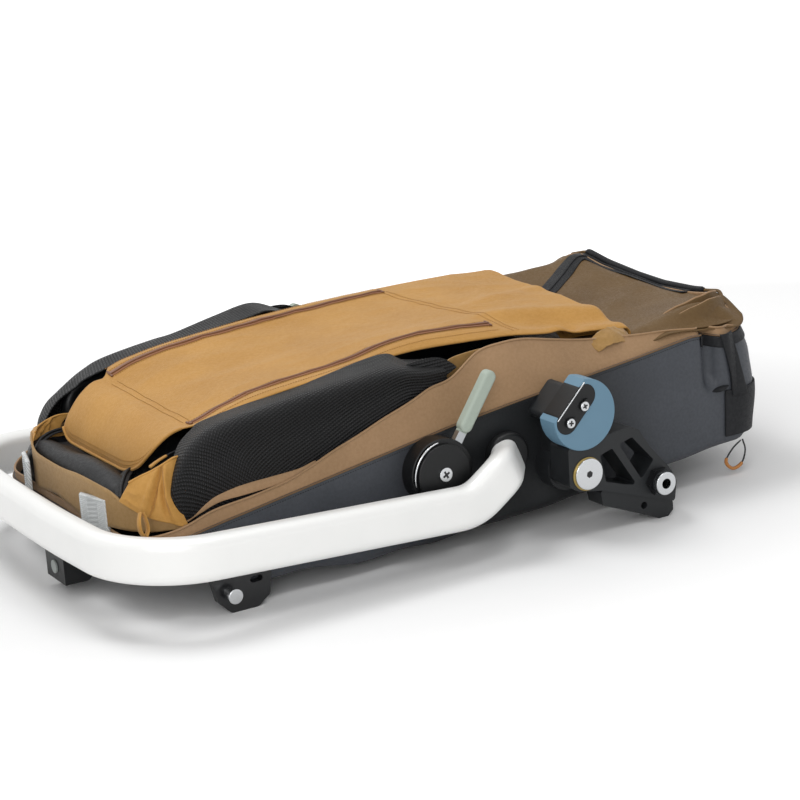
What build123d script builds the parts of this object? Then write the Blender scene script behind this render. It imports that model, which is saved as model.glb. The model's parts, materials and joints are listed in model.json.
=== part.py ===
"""Folded dog bike trailer: fabric tub on a tube frame, folding cage, swing-over push bar.

Millimetres. X runs to the rear and +Z up, and the left side is at -Y. The trailer lies folded,
without wheels, on its two front brackets and the tails of its suspension arms. save() moves every
piece so that the origin comes under the middle of the trailer's length, on the floor.
"""

from build123d import *
import math
import os

os.makedirs("parts", exist_ok=True)

# Distances outward from the tub's side are depths, so that what is stacked there stays stacked.

# --- tub: the fabric body, open at the top -------------------------------------------------------
TUB_FRONT = -395.0
TUB_REAR = 488.0
TUB_HALF_WIDTH = 225.0
TUB_FRONT_RADIUS = 70.0
TUB_REAR_RADIUS = 45.0
TUB_WALL = 4.0
SKIRT_WALL = 3.0
# The underside, the belt where dark fabric meets brown, and the brown skirt's top edge: (x, z).
TUB_BOTTOM = [(TUB_FRONT, 68), (-330, 44), (-280, 25), (-23, 13), (165, 25), (462, 46), (TUB_REAR, 96)]
BELT = [(TUB_FRONT, 86), (-313, 103), (-238, 115), (21, 157), (100, 167), (300, 190), (TUB_REAR, 213)]
SKIRT_TOP = [(TUB_FRONT, 118), (-322, 122), (-150, 157), (4, 204), (80, 232), (150, 232), (221, 218),
             (300, 220), (400, 225), (TUB_REAR, 232)]
CLOTH_GAP = 0.3
# The rounding of bolt heads, rings and screws.
SMALL_EDGE_R = 1.0
# The underside of the brown panel slung across the rear, from the left side to the right: Y, then (x, z).
REAR_PANEL = [(-222, [(225, 207), (300, 208), (345, 213), (395, 219), (TUB_REAR, 216)]),
              (-105, [(225, 205), (300, 202), (345, 205), (395, 212), (TUB_REAR, 219)]),
              (0, [(225, 206), (300, 203), (345, 205), (395, 211), (TUB_REAR, 222)]),
              (105, [(225, 213), (300, 212), (345, 214), (395, 219), (TUB_REAR, 226)]),
              (222, [(225, 224), (300, 228), (345, 231), (395, 234), (TUB_REAR, 230)])]
REAR_PANEL_T = 6.0

# --- floor frame ---------------------------------------------------------------------------------
FRAME_BAR = 22.0
FRAME_FRONT = -373.0
FRAME_REAR = 428.0
FRAME_FRONT_Z = 78.0
FRAME_REAR_Z = 66.0
FRAME_CORNER_R = 60.0
CROSS_BARS = [-200.0, 161.0]

# --- suspension, one on each side ----------------------------------------------------------------
PIVOT = (161.0, 82.0)
PIVOT_BOLT_R = 7.0
PIVOT_HEAD_R = 19.5
PIVOT_HEAD_H = 4.0
HEX_SOCKET_R = 3.5
HEX_SOCKET_DEPTH = 3.0
HOUSING_DEPTH = 29.0
HOUSING_PIVOT_R = 30.0
HOUSING_POST = [(140, 92), (182, 92), (178, 150), (140, 150)]
HOUSING_POST_R = 22.0
ARM_GAP = 2.0
ARM_T = 39.0
ARM_OUTLINE = [(134, 118), (224, 128), (238, 122), (254, 97), (284, 62), (293, 44), (289, 18.5),
               (229, 39.5), (179, 56.5), (147, 62), (134, 71)]
ARM_WINDOWS = [[(180, 101), (198, 106), (233, 52), (213, 57), (187, 66)],
               [(208, 109), (228, 114), (259, 79), (240, 58)]]
ARM_EDGE_R = 4.0
WINDOW_EDGE_R = 3.0
ARM_TAIL = [(181, 55.5), (229, 39), (289, 18), (289, 7), (281, 0), (267, 0), (243, 11), (184, 35)]
TAIL_SET_BACK = 4.0
TAIL_EDGE_R = 3.0
TAIL_HOLE = (245.0, 22.0)
TAIL_HOLE_R = 4.5
AXLE = (264.0, 51.0)
AXLE_BORE_R = 6.5
AXLE_NUT_R = 18.0
AXLE_NUT_H = 8.0
AXLE_COLLAR_R = 15.5
AXLE_COLLAR_H = 4.0
AXLE_RING_R = 14.5
AXLE_RING_H = 6.0

PUCK = (158.0, 157.0)
PUCK_R = 44.0
PUCK_STANDOFF = 13.0
PUCK_T = 32.0
PUCK_EDGE_R = 1.5
CLAMP_ANGLE = 45.0
CLAMP_LENGTH = 68.0
CLAMP_WIDTH = 29.0
# How far the clamp's flat outer edge and its middle lie from the puck's middle.
CLAMP_EDGE = 30.0
CLAMP_SHIFT = -2.0
CLAMP_NECK = 8.0
CLAMP_SCREWS = [-16.0, 12.0]
CLAMP_SCREW_INSET = 21.0
SCREW_R = 5.5
SCREW_H = 3.0
SEAT_GAP = 0.3

# --- folding cage and its locks ------------------------------------------------------------------
CAGE_AXIS = (-15.0, 110.0)
CAGE_TUBE_R = 9.0
CAGE_CROSS_R = 8.0
CAGE_INSET = 25.0
CAGE_LOOP = [(-66, 204.5), (-285, 180.5), (-343, 128)]
CAGE_BEND_R = 30.0
# How far along the top run, and along the run back to the eye, the cross tubes sit.
TOP_CROSS = [0.25, 0.8]
LOW_CROSS = [0.2]
CAGE_EYE_R = 21.0
CAGE_PIN_R = 6.0
RUNNING_GAP = 0.05
DRUM_R = 42.0
DRUM_DEPTH = 31.0
DRUM_STEP = 6.0
DRUM_EDGE_R = 2.0
DRUM_SLOT = (1.5, 3.0, 8.0)
DRUM_SLOT_ANGLES = (112.0, 150.0, 188.0)
DRUM_SCREW_R = 8.0
DRUM_SCREW_H = 2.0
LEVER_ROOT = (9.0, 141.0)
LEVER_TIP = (63.0, 220.0)
LEVER_NECK = 15.0
LEVER_NECK_W = 11.0
LEVER_SET_BACK = 4.0
GRIP_W = 17.0
GRIP_T = 12.0
GRIP_EDGE_R = 4.0

# --- cover over the cage -------------------------------------------------------------------------
COVER_FRONT_SPAN = (-284.0, -108.0)
COVER_FLAP_TIP = (-335, 136)
COVER_HALF = 122.0
COVER_T = 8.0
FLAP_HALF = 104.0
REAR_COVER_TOP = [(-102, 218), (0, 232), (120, 246), (200, 252), (290, 238)]
REAR_COVER_END = 312.0
REAR_COVER_HALF = 150.0
# The side's lower line, from its front corner back, and its top, from the rear to the front, where
# it turns in over the cage's tube.
MESH_LOW = [(-327, 184), (-341, 150), (-334, 118), (-294, 131), (-185, 132), (-120, 155), (-40, 195), (24, 208)]
MESH_TOP = [(24, 222), (-15, 228), (-45, 234), (-91, 233), (-175, 226), (-249, 218), (-285, 211), (-304, 203)]
MESH_TURN_IN = 153.0
MESH_TURN_R = 4.0
MESH_T = 4.5

# --- push bar ------------------------------------------------------------------------------------
BAR_W = 30.0
BAR_H = 53.5
BAR_CORNER = 13.0
BAR_GAP = 7.0
BAR_FRONT_X = -440.0
BAR_FRONT_Z = 94.0
# The crossbar is straight in the middle and falls back a little towards its corners.
BAR_STRAIGHT = 90.0
BAR_FALL_BACK = 11.0
BAR_BEND = (8.0, 71.0)
BAR_RISE = (56.0, 104.0)
BAR_END = (86.0, 105.0)
BAR_BOW_R = 1500.0
BAR_FRONT_R = 105.0
BAR_BEND_R = 60.0
BAR_END_R = 30.0
HUB = (83.0, 110.0)
HUB_R = 28.0
HUB_EDGE_R = 4.0
HUB_BOSS_R = 24.0
HUB_BOSS_DEPTH = 8.0
HUB_CAP_GAP = 0.5
HUB_CAP_T = 13.0
HUB_PIN_R = 9.0
BAR_LET_IN = 9.0

# --- front fittings ------------------------------------------------------------------------------
BRACKET = [(-322, 58), (-312, 16), (-296, 0), (-262, 0), (-246, 12), (-240, 52)]
BRACKET_T = 10.0
BRACKET_EDGE_R = 6.0
BRACKET_SLOT = (-262.0, 34.0)
BRACKET_SLOT_SIZE = (16.0, 8.0)
PULL_PIN = (-297.0, 25.0)
PULL_PIN_R = 9.0
PULL_PIN_NECK_R = 6.0
PULL_PIN_L = 17.0
NOSE_BLOCK_DEPTH = 30.0
NOSE_BLOCK_W = 56.0
NOSE_BLOCK_LOW = 14.0
NOSE_BLOCK_HIGH = 48.0
NOSE_BLOCK_Y = -28.0
NOSE_NECK = 40.0
NOSE_BUTTON_R = 8.0
NOSE_BUTTON_H = 2.0
STRAP_T = 3.0
STRAP_LOW = 92.0
STRAP_HIGH = 132.0
STRAP_END = -330.0
REFLECTOR_T = 5.0
REFLECTOR_W = 38.0
REFLECTOR_H = 46.0
REFLECTOR_EDGE_R = 4.0
REFLECTOR_RIM = 2.0
REFLECTOR_Y = 107.0

# --- drawcord: a loop out of the tub's rear lower corner, with a short tube on it ----------------
CORD_R = 1.1
CORD_ROUTE = [(461, -215, 45.3), (465, -215, 30), (459, -214, 13), (444, -214, 9), (433, -215, 21),
              (443, -216, 36), (457, -216, 45)]
CORD_SLEEVE_R = 2.3
CORD_SLEEVE_SPAN = (0.33, 0.68)
CORD_BEND_SHARE = 0.45

# --- worked out from the values above ------------------------------------------------------------
HOUSING_OUT = TUB_HALF_WIDTH + HOUSING_DEPTH
ARM_IN = HOUSING_OUT + ARM_GAP
ARM_OUT = ARM_IN + ARM_T
AXLE_NUT_OUT = ARM_OUT + AXLE_NUT_H + AXLE_COLLAR_H
AXLE_RING_OUT = AXLE_NUT_OUT + AXLE_RING_H
PUCK_IN = HOUSING_OUT + PUCK_STANDOFF
PUCK_OUT = PUCK_IN + PUCK_T
CAGE_Y = TUB_HALF_WIDTH - CAGE_INSET
DRUM_OUT = TUB_HALF_WIDTH + DRUM_DEPTH
BAR_HALF = DRUM_OUT + BAR_GAP + BAR_W / 2
HUB_BOSS_OUT = TUB_HALF_WIDTH + HUB_BOSS_DEPTH
HUB_CAP_IN = HUB_BOSS_OUT + HUB_CAP_GAP
HUB_CAP_OUT = HUB_CAP_IN + HUB_CAP_T
BRACKET_OUT = TUB_HALF_WIDTH + BRACKET_T
MIDDLE_X = (TUB_REAR + BAR_FRONT_X - BAR_W / 2) / 2
# A length that reaches past everything, for blocks that only cut.
REACH = TUB_REAR - TUB_FRONT
SAME_POINT = 1e-4


def face_xz(points, y, edge=0.0):
    """An outline in XZ as a face, its corners rounded by edge."""
    face = make_face(Polyline([(x, y, z) for x, z in points], close=True))
    return fillet(face.vertices(), edge) if edge else face


def plate(points, y_low, y_high, edge=0.0):
    """A flat plate with an outline in XZ, between two Y values."""
    return extrude(face_xz(points, y_low, edge), amount=y_high - y_low, dir=(0, 1, 0))


def disc(centre, radius, y_low, y_high):
    """A round bar along Y."""
    x, z = centre
    return Pos(x, (y_low + y_high) / 2, z) * Rot(90, 0, 0) * Cylinder(radius, abs(y_high - y_low))


def turned(centre, profile, edge):
    """A body turned about a Y axis from a profile of (radius, depth) points, its rims rounded.

    Depths are counted outward from the tub's left side. A rim is a point whose neighbours lie
    no further from the axis.
    """
    face = make_face(Polyline([(r, -TUB_HALF_WIDTH - depth) for r, depth in profile], close=True))
    rims = [(r, -TUB_HALF_WIDTH - depth) for before, (r, depth), after in
            zip(profile, profile[1:], profile[2:]) if r >= max(before[0], after[0])]
    corners = [v for v in face.vertices() if min(math.dist((v.X, v.Y), rim) for rim in rims) < SAME_POINT]
    return Pos(centre[0], 0, centre[1]) * revolve(fillet(corners, edge), Axis.Y)


def depth_of(y_out):
    return y_out - TUB_HALF_WIDTH


def plan(inset, z_low, z_high):
    """The tub's plan outline, pulled in by inset, as a tall block."""
    length = TUB_REAR - TUB_FRONT - 2 * inset
    face = Rectangle(length, 2 * (TUB_HALF_WIDTH - inset))
    face = fillet(face.vertices().group_by(Axis.X)[0], TUB_FRONT_RADIUS - inset)
    face = fillet(face.vertices().group_by(Axis.X)[-1], TUB_REAR_RADIUS - inset)
    middle = (TUB_FRONT + TUB_REAR) / 2
    return Pos(middle, 0, z_low) * extrude(face, amount=z_high - z_low)


def raised(line, amount):
    return [(x, z + amount) for x, z in line]


def band(low, high):
    """A block across the whole width between two lines of (x, z) points."""
    return plate(low + high[::-1], -REACH, REACH)


def height_on(line, x):
    """The height at x of a line of (x, z) points."""
    for (ax, az), (bx, bz) in zip(line, line[1:]):
        if ax <= x <= bx:
            return az + (bz - az) * (x - ax) / (bx - ax)
    return line[0][1]


def between(start, end, share):
    return tuple(a + (b - a) * share for a, b in zip(start, end))


def toward(start, end, distance):
    """The point at a distance from start on the way to end."""
    return between(start, end, distance / math.dist(start, end))


def save(shape, name):
    """Moves a piece into the trailer's frame and writes it."""
    shape = Pos(-MIDDLE_X, 0, 0) * shape
    shape.label = name
    export_step(shape, f"parts/{name}.step")


def both_sides(shape, name):
    """Writes a left part and its mirror image."""
    save(shape, f"{name}_left")
    save(mirror(shape, about=Plane.XZ), f"{name}_right")


# --- tub and frame -------------------------------------------------------------------------------


def tub():
    outer = plan(0, 0, REACH) & band(TUB_BOTTOM, BELT)
    shell = outer - (plan(TUB_WALL, 0, REACH) & band(raised(TUB_BOTTOM, TUB_WALL), raised(BELT, REACH)))
    for side in (-1, 1):
        low, far = sorted((side * (TUB_HALF_WIDTH - 2 * TUB_WALL), side * (TUB_HALF_WIDTH + TUB_WALL)))
        shell -= disc(CAGE_AXIS, CAGE_PIN_R + SEAT_GAP, low, far)
    return shell


def tub_skirt():
    outer = plan(0, 0, REACH) & band(BELT, SKIRT_TOP)
    return outer - plan(SKIRT_WALL, 0, REACH)


def rear_panel():
    """Cloth slung between the tub's sides, one section to each drawn Y."""
    sections = [face_xz(line + raised(line, REAR_PANEL_T)[::-1], y) for y, line in REAR_PANEL]
    return plan(SKIRT_WALL + CLOTH_GAP, 0, REACH) & loft(sections, ruled=True)


def rear_panel_top(x, y):
    """The panel's upper face at a point."""
    for (near, near_line), (far, far_line) in zip(REAR_PANEL, REAR_PANEL[1:]):
        if near <= y <= far:
            share = (y - near) / (far - near)
            low, high = height_on(near_line, x), height_on(far_line, x)
            return low + (high - low) * share + REAR_PANEL_T
    raise ValueError("the point lies off the panel")


def floor_frame():
    """A ring of square tube with two cross bars, sloping with the tub's floor."""
    run = FRAME_REAR - FRAME_FRONT
    width = 2 * (TUB_HALF_WIDTH - TUB_WALL - CLOTH_GAP)
    outer = RectangleRounded(run, width, FRAME_CORNER_R)
    inner = RectangleRounded(run - 2 * FRAME_BAR, width - 2 * FRAME_BAR, FRAME_CORNER_R - FRAME_BAR)
    ring = extrude(outer - inner, amount=FRAME_BAR / 2, both=True)
    middle = (FRAME_FRONT + FRAME_REAR) / 2
    for x in CROSS_BARS:
        ring += Pos(x - middle, 0, 0) * Box(FRAME_BAR, width - FRAME_BAR, FRAME_BAR)
    rise = math.degrees(math.atan2(FRAME_REAR_Z - FRAME_FRONT_Z, run))
    return Pos(middle, 0, (FRAME_FRONT_Z + FRAME_REAR_Z) / 2) * Rot(0, -rise, 0) * ring


# --- suspension ----------------------------------------------------------------------------------


def clamp_block(grow, y_low, y_high):
    """The stadium-shaped clamp let into the puck, grown all round."""
    face = SlotOverall(CLAMP_LENGTH + 2 * grow, CLAMP_WIDTH + 2 * grow)
    across = CLAMP_EDGE - CLAMP_WIDTH / 2
    block = Pos(CLAMP_SHIFT, across, 0) * extrude(face, amount=y_high - y_low)
    return Pos(PUCK[0], y_high, PUCK[1]) * Rot(90, 0, 0) * Rot(0, 0, CLAMP_ANGLE) * block


def housing():
    """The bracket between the tub's side and the arm: pivot boss below, clamp post above."""
    low, far = -HOUSING_OUT, -TUB_HALF_WIDTH
    body = disc(PIVOT, HOUSING_PIVOT_R, low, far) + disc(PUCK, HOUSING_POST_R, low, far)
    body += plate(HOUSING_POST, low, far)
    body += clamp_block(-CLAMP_NECK, -PUCK_IN, far)
    return body - disc(PIVOT, PIVOT_BOLT_R, low - HOUSING_DEPTH, far + HOUSING_DEPTH)


def suspension_arm():
    """The trailing arm: a truss with two windows, a cradle for the puck and the axle's bore."""
    arm = plate(ARM_OUTLINE, -ARM_OUT, -ARM_IN, ARM_EDGE_R)
    past = (-ARM_OUT - ARM_T, -ARM_IN + ARM_T)
    arm -= disc(PUCK, PUCK_R + SEAT_GAP, *past)
    for window in ARM_WINDOWS:
        arm -= plate(window, *past, WINDOW_EDGE_R)
    return arm - disc(PIVOT, PIVOT_BOLT_R, *past) - disc(AXLE, AXLE_BORE_R, *past)


def arm_tail():
    tail = plate(ARM_TAIL, -ARM_OUT + TAIL_SET_BACK, -ARM_IN - TAIL_SET_BACK, TAIL_EDGE_R)
    return tail - disc(TAIL_HOLE, TAIL_HOLE_R, -ARM_OUT, -ARM_IN)


def pivot_bolt():
    start = depth_of(ARM_OUT)
    bolt = turned(PIVOT, [(0, 0), (PIVOT_BOLT_R, 0), (PIVOT_BOLT_R, start), (PIVOT_HEAD_R, start),
                          (PIVOT_HEAD_R, start + PIVOT_HEAD_H), (0, start + PIVOT_HEAD_H)], SMALL_EDGE_R)
    x, z = PIVOT
    socket = extrude(RegularPolygon(HEX_SOCKET_R, 6), amount=2 * HEX_SOCKET_DEPTH, both=True)
    depth = start + PIVOT_HEAD_H + HEX_SOCKET_DEPTH
    return bolt - Pos(x, -TUB_HALF_WIDTH - depth, z) * Rot(90, 0, 0) * socket


def axle_nut():
    """A hexagon nut with a round collar, bored for the wheel's axle."""
    x, z = AXLE
    nut = extrude(RegularPolygon(AXLE_NUT_R, 6), amount=AXLE_NUT_H)
    nut = Pos(x, -ARM_OUT, z) * Rot(90, 0, 0) * nut
    nut += disc(AXLE, AXLE_COLLAR_R, -AXLE_NUT_OUT, -ARM_OUT)
    return nut - disc(AXLE, AXLE_BORE_R, -AXLE_RING_OUT, -ARM_IN)


def axle_ring():
    inner, outer = depth_of(AXLE_NUT_OUT), depth_of(AXLE_RING_OUT)
    ring = turned(AXLE, [(0, inner), (AXLE_RING_R, inner), (AXLE_RING_R, outer), (0, outer)], SMALL_EDGE_R)
    return ring - disc(AXLE, AXLE_BORE_R, -AXLE_RING_OUT - AXLE_RING_H, -ARM_IN)


def puck():
    """The elastomer disc, cut flat where the clamp closes over it."""
    inner, outer = depth_of(PUCK_IN), depth_of(PUCK_OUT)
    body = turned(PUCK, [(0, inner), (PUCK_R, inner), (PUCK_R, outer), (0, outer)], PUCK_EDGE_R)
    x, z = PUCK
    keep = Pos(0, CLAMP_EDGE - PUCK_R, 0) * Box(3 * PUCK_R, 2 * PUCK_R, 4 * PUCK_T)
    keep = Pos(x, -PUCK_IN, z) * Rot(90, 0, 0) * Rot(0, 0, CLAMP_ANGLE) * keep
    return (body & keep) - clamp_block(SEAT_GAP, -PUCK_OUT - PUCK_T, -PUCK_IN + PUCK_T)


def puck_clamp():
    block = clamp_block(0, -PUCK_OUT, -PUCK_IN)
    across = CLAMP_EDGE - CLAMP_SCREW_INSET
    for along in CLAMP_SCREWS:
        screw = Pos(along, across, 0) * Cylinder(SCREW_R, 2 * SCREW_H)
        block += Pos(PUCK[0], -PUCK_OUT, PUCK[1]) * Rot(90, 0, 0) * Rot(0, 0, CLAMP_ANGLE) * screw
    return block


# --- cage, its locks and the cover ---------------------------------------------------------------


def lock_drum():
    """A dished drum with a sight slot round part of its rim."""
    shoulder = DRUM_DEPTH - DRUM_STEP
    drum = turned(CAGE_AXIS, [(0, 0), (DRUM_R, 0), (DRUM_R, shoulder), (DRUM_R - DRUM_STEP, shoulder),
                              (DRUM_R - DRUM_STEP, DRUM_DEPTH), (0, DRUM_DEPTH)], DRUM_EDGE_R)
    inset, width, depth = DRUM_SLOT
    low, far = -TUB_HALF_WIDTH - shoulder - depth, -TUB_HALF_WIDTH - shoulder + depth
    slot = disc(CAGE_AXIS, DRUM_R - inset, low, far) - disc(CAGE_AXIS, DRUM_R - inset - width, low, far)
    x, z = CAGE_AXIS
    spokes = [(x + 2 * DRUM_R * math.cos(math.radians(a)), z + 2 * DRUM_R * math.sin(math.radians(a)))
              for a in DRUM_SLOT_ANGLES]
    drum -= slot & plate([CAGE_AXIS] + spokes, low, far)
    return drum - disc(CAGE_AXIS, CAGE_PIN_R, -DRUM_OUT - DRUM_DEPTH, -TUB_HALF_WIDTH + DRUM_DEPTH)


def cage_pin():
    """The screw through the drum that the cage's eye turns on."""
    tip = -CAGE_Y + CAGE_TUBE_R + TUB_HALF_WIDTH
    head = DRUM_DEPTH + DRUM_SCREW_H
    return turned(CAGE_AXIS, [(0, -tip), (CAGE_PIN_R, -tip), (CAGE_PIN_R, DRUM_DEPTH),
                              (DRUM_SCREW_R, DRUM_DEPTH), (DRUM_SCREW_R, head), (0, head)], SMALL_EDGE_R)


def lever():
    """A flat neck out of the drum with a rubber grip on it."""
    length = math.dist(LEVER_ROOT, LEVER_TIP)
    lean = math.degrees(math.atan2(LEVER_TIP[0] - LEVER_ROOT[0], LEVER_TIP[1] - LEVER_ROOT[1]))
    grip = extrude(SlotOverall(length - LEVER_NECK, GRIP_W, rotation=90), amount=GRIP_T)
    grip = Pos(0, (length + LEVER_NECK) / 2, 0) * fillet(grip.edges().group_by(Axis.Z)[-1], GRIP_EDGE_R)
    neck = extrude(Rectangle(LEVER_NECK_W, 3 * LEVER_NECK), amount=GRIP_T - GRIP_EDGE_R)
    place = Pos(LEVER_ROOT[0], -DRUM_OUT + LEVER_SET_BACK + GRIP_T, LEVER_ROOT[1]) * Rot(0, lean, 0)
    both = place * Rot(90, 0, 0) * (grip + neck)
    return both - disc(CAGE_AXIS, DRUM_R + RUNNING_GAP, -DRUM_OUT - DRUM_DEPTH, -TUB_HALF_WIDTH + DRUM_DEPTH)


def cage_frame():
    """Two side loops of round tube that start and end in an eye, joined by cross tubes."""
    seat = CAGE_EYE_R - CAGE_TUBE_R / 2
    first = toward(CAGE_AXIS, CAGE_LOOP[0], seat)
    last = toward(CAGE_AXIS, CAGE_LOOP[-1], seat)
    corners = [first] + CAGE_LOOP + [last]
    route = FilletPolyline(*[(x, -CAGE_Y, z) for x, z in corners], radius=CAGE_BEND_R)
    loop = sweep(Plane(origin=route @ 0, z_dir=route % 0) * Circle(CAGE_TUBE_R), path=route)
    left = loop + disc(CAGE_AXIS, CAGE_EYE_R, -CAGE_Y - CAGE_TUBE_R, -CAGE_Y + CAGE_TUBE_R)
    left -= disc(CAGE_AXIS, CAGE_PIN_R + RUNNING_GAP, -CAGE_Y - CAGE_EYE_R, -CAGE_Y + CAGE_EYE_R)
    frame = left + mirror(left, about=Plane.XZ)
    spots = [between(CAGE_LOOP[0], CAGE_LOOP[1], share) for share in TOP_CROSS]
    spots += [between(CAGE_LOOP[-1], last, share) for share in LOW_CROSS]
    for spot in spots:
        frame += disc(spot, CAGE_CROSS_R, -CAGE_Y, CAGE_Y)
    return frame


def cage_top(x):
    """The height at which cloth lies on the cage's top cross tubes."""
    (ax, az), (bx, bz) = CAGE_LOOP[0], CAGE_LOOP[1]
    slope = (bz - az) / (bx - ax)
    return az + (x - ax) * slope + (CAGE_CROSS_R + CLOTH_GAP) * math.hypot(1, slope)


def cover_front():
    """The golden top panel over the cage, with its flap hanging down at the front."""
    line = [(x, cage_top(x)) for x in COVER_FRONT_SPAN]
    top = plate(line + raised(line, COVER_T)[::-1], -COVER_HALF, COVER_HALF)
    flap_line = [COVER_FLAP_TIP, line[0]]
    flap = plate(flap_line + raised(flap_line, COVER_T)[::-1], -FLAP_HALF, FLAP_HALF)
    return top + flap


def cover_rear():
    """The loose rear half of the cover, which lies on the rear panel at its end."""
    rest = rear_panel_top(REAR_COVER_END, REAR_COVER_HALF) + CLOTH_GAP + COVER_T
    line = REAR_COVER_TOP + [(REAR_COVER_END, rest)]
    return plate(raised(line, -COVER_T) + line[::-1], -REAR_COVER_HALF, REAR_COVER_HALF)


def mesh_side():
    """A flat side outside the cage's loop, which turns in over the loop at its top."""
    inner = CAGE_Y + CAGE_TUBE_R + CLOTH_GAP
    outer = inner + MESH_T
    side = plate(MESH_LOW + MESH_TOP, -outer, -inner)
    side += plate(MESH_TOP + raised(MESH_TOP, -MESH_T)[::-1], -outer, -MESH_TURN_IN)
    rim = [edge for edge in side.edges() if all(
        math.dist((v.Y, v.Z), (-outer, height_on(MESH_TOP[::-1], v.X))) < SAME_POINT for v in edge.vertices())]
    return fillet(rim, MESH_TURN_R)


# --- push bar ------------------------------------------------------------------------------------


def bar_half():
    """The left half: crossbar, front corner, long arm, rise and the turned-in end."""
    incline = math.atan2(BAR_FRONT_Z - BAR_BEND[1], BAR_BEND[0] - BAR_FRONT_X)
    back_z = BAR_FRONT_Z - BAR_FALL_BACK * math.tan(incline)
    points = [(BAR_FRONT_X, 0, BAR_FRONT_Z), (BAR_FRONT_X, -BAR_STRAIGHT, BAR_FRONT_Z),
              (BAR_FRONT_X + BAR_FALL_BACK, -BAR_HALF, back_z), (BAR_BEND[0], -BAR_HALF, BAR_BEND[1]),
              (BAR_RISE[0], -BAR_HALF, BAR_RISE[1]), (BAR_END[0], -HUB_CAP_OUT + BAR_LET_IN, BAR_END[1])]
    path = FilletPolyline(*points, radius=[BAR_BOW_R, BAR_FRONT_R, BAR_BEND_R, BAR_END_R])
    start = Plane(origin=points[0], x_dir=(math.cos(incline), 0, -math.sin(incline)), z_dir=(0, -1, 0))
    return sweep(start * RectangleRounded(BAR_W, BAR_H, BAR_CORNER), path=path)


def push_bar():
    """The whole bar, its two ends cut flat where they stand on the hub caps."""
    half = bar_half()
    bar = half + mirror(half, about=Plane.XZ)
    return bar - disc(HUB, 2 * HUB_R, -HUB_CAP_OUT, HUB_CAP_OUT)


def hub_cap():
    """The black cuff at the end of the bar, which turns on the boss's pin."""
    inner, outer = depth_of(HUB_CAP_IN), depth_of(HUB_CAP_OUT)
    cap = turned(HUB, [(0, inner), (HUB_R, inner), (HUB_R, outer), (0, outer)], HUB_EDGE_R)
    return cap - disc(HUB, HUB_PIN_R + RUNNING_GAP, -HUB_CAP_OUT - HUB_CAP_T, -HUB_CAP_IN + HUB_CAP_T)


def hub_boss():
    boss = disc(HUB, HUB_BOSS_R, -HUB_BOSS_OUT, -TUB_HALF_WIDTH)
    return boss + disc(HUB, HUB_PIN_R, -HUB_CAP_OUT, -TUB_HALF_WIDTH)


# --- front fittings and the drawcord -------------------------------------------------------------


def front_bracket():
    """The socket plate for the hitch arm, on which the folded trailer rests."""
    base = plate(BRACKET, -BRACKET_OUT, -TUB_HALF_WIDTH, BRACKET_EDGE_R)
    past = (-BRACKET_OUT - BRACKET_T, -TUB_HALF_WIDTH + BRACKET_T)
    x, z = BRACKET_SLOT
    slot = extrude(SlotOverall(*BRACKET_SLOT_SIZE), amount=2 * BRACKET_T, both=True)
    base -= Pos(x, -BRACKET_OUT, z) * Rot(90, 0, 0) * slot
    return base - disc(PULL_PIN, PULL_PIN_NECK_R, *past)


def pull_pin():
    """A turned knob on a neck that goes through the bracket."""
    start, tip = BRACKET_T, BRACKET_T + PULL_PIN_L
    head = tip - PULL_PIN_L / 2
    return turned(PULL_PIN, [(0, 0), (PULL_PIN_NECK_R, 0), (PULL_PIN_NECK_R, head), (PULL_PIN_R, head),
                             (PULL_PIN_R, tip), (0, tip)], SMALL_EDGE_R)


def nose_block():
    """The stop under the front edge: a block with a neck up to the tub's floor."""
    front = TUB_FRONT - NOSE_BLOCK_DEPTH
    rear = TUB_FRONT + NOSE_NECK
    half = NOSE_BLOCK_W / 2
    outline = [(front, NOSE_BLOCK_LOW), (front, NOSE_BLOCK_HIGH), (TUB_FRONT, height_on(TUB_BOTTOM, TUB_FRONT)),
               (rear, height_on(TUB_BOTTOM, rear)), (TUB_FRONT, NOSE_BLOCK_LOW)]
    return plate(outline, NOSE_BLOCK_Y - half, NOSE_BLOCK_Y + half)


def nose_button():
    x = TUB_FRONT - NOSE_BLOCK_DEPTH - NOSE_BUTTON_H / 2
    z = (NOSE_BLOCK_LOW + NOSE_BLOCK_HIGH) / 2
    return Pos(x, NOSE_BLOCK_Y, z) * Rot(0, 90, 0) * Cylinder(NOSE_BUTTON_R, NOSE_BUTTON_H)


def front_strap():
    """The webbing round the tub's front, which carries the reflectors."""
    outer = plan(-STRAP_T - CLOTH_GAP, STRAP_LOW, STRAP_HIGH)
    inner = plan(-CLOTH_GAP, STRAP_LOW - STRAP_T, STRAP_HIGH + STRAP_T)
    keep = Pos(STRAP_END - REACH / 2, 0, 0) * Box(REACH, 2 * REACH, 2 * REACH)
    return (outer - inner) & keep


def reflector():
    """A clear reflector with a raised rim."""
    face = RectangleRounded(REFLECTOR_H, REFLECTOR_W, REFLECTOR_EDGE_R)
    lens = RectangleRounded(REFLECTOR_H - 2 * REFLECTOR_RIM, REFLECTOR_W - 2 * REFLECTOR_RIM,
                            REFLECTOR_EDGE_R - REFLECTOR_RIM)
    body = extrude(face, amount=REFLECTOR_T) - Pos(0, 0, REFLECTOR_T - REFLECTOR_RIM / 2) * extrude(
        lens, amount=REFLECTOR_RIM)
    x = TUB_FRONT - CLOTH_GAP - STRAP_T
    return Pos(x, -REFLECTOR_Y, (STRAP_LOW + STRAP_HIGH) / 2) * Rot(0, -90, 0) * body


def corner_radii(points, share):
    """For each inner point, the largest arc that takes this share of its shorter run."""
    radii = []
    for before, here, after in zip(points, points[1:], points[2:]):
        turn = (Vector(here) - Vector(before)).get_angle(Vector(after) - Vector(here))
        run = min(math.dist(before, here), math.dist(here, after))
        radii.append(share * run / math.tan(math.radians(turn) / 2))
    return radii


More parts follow.
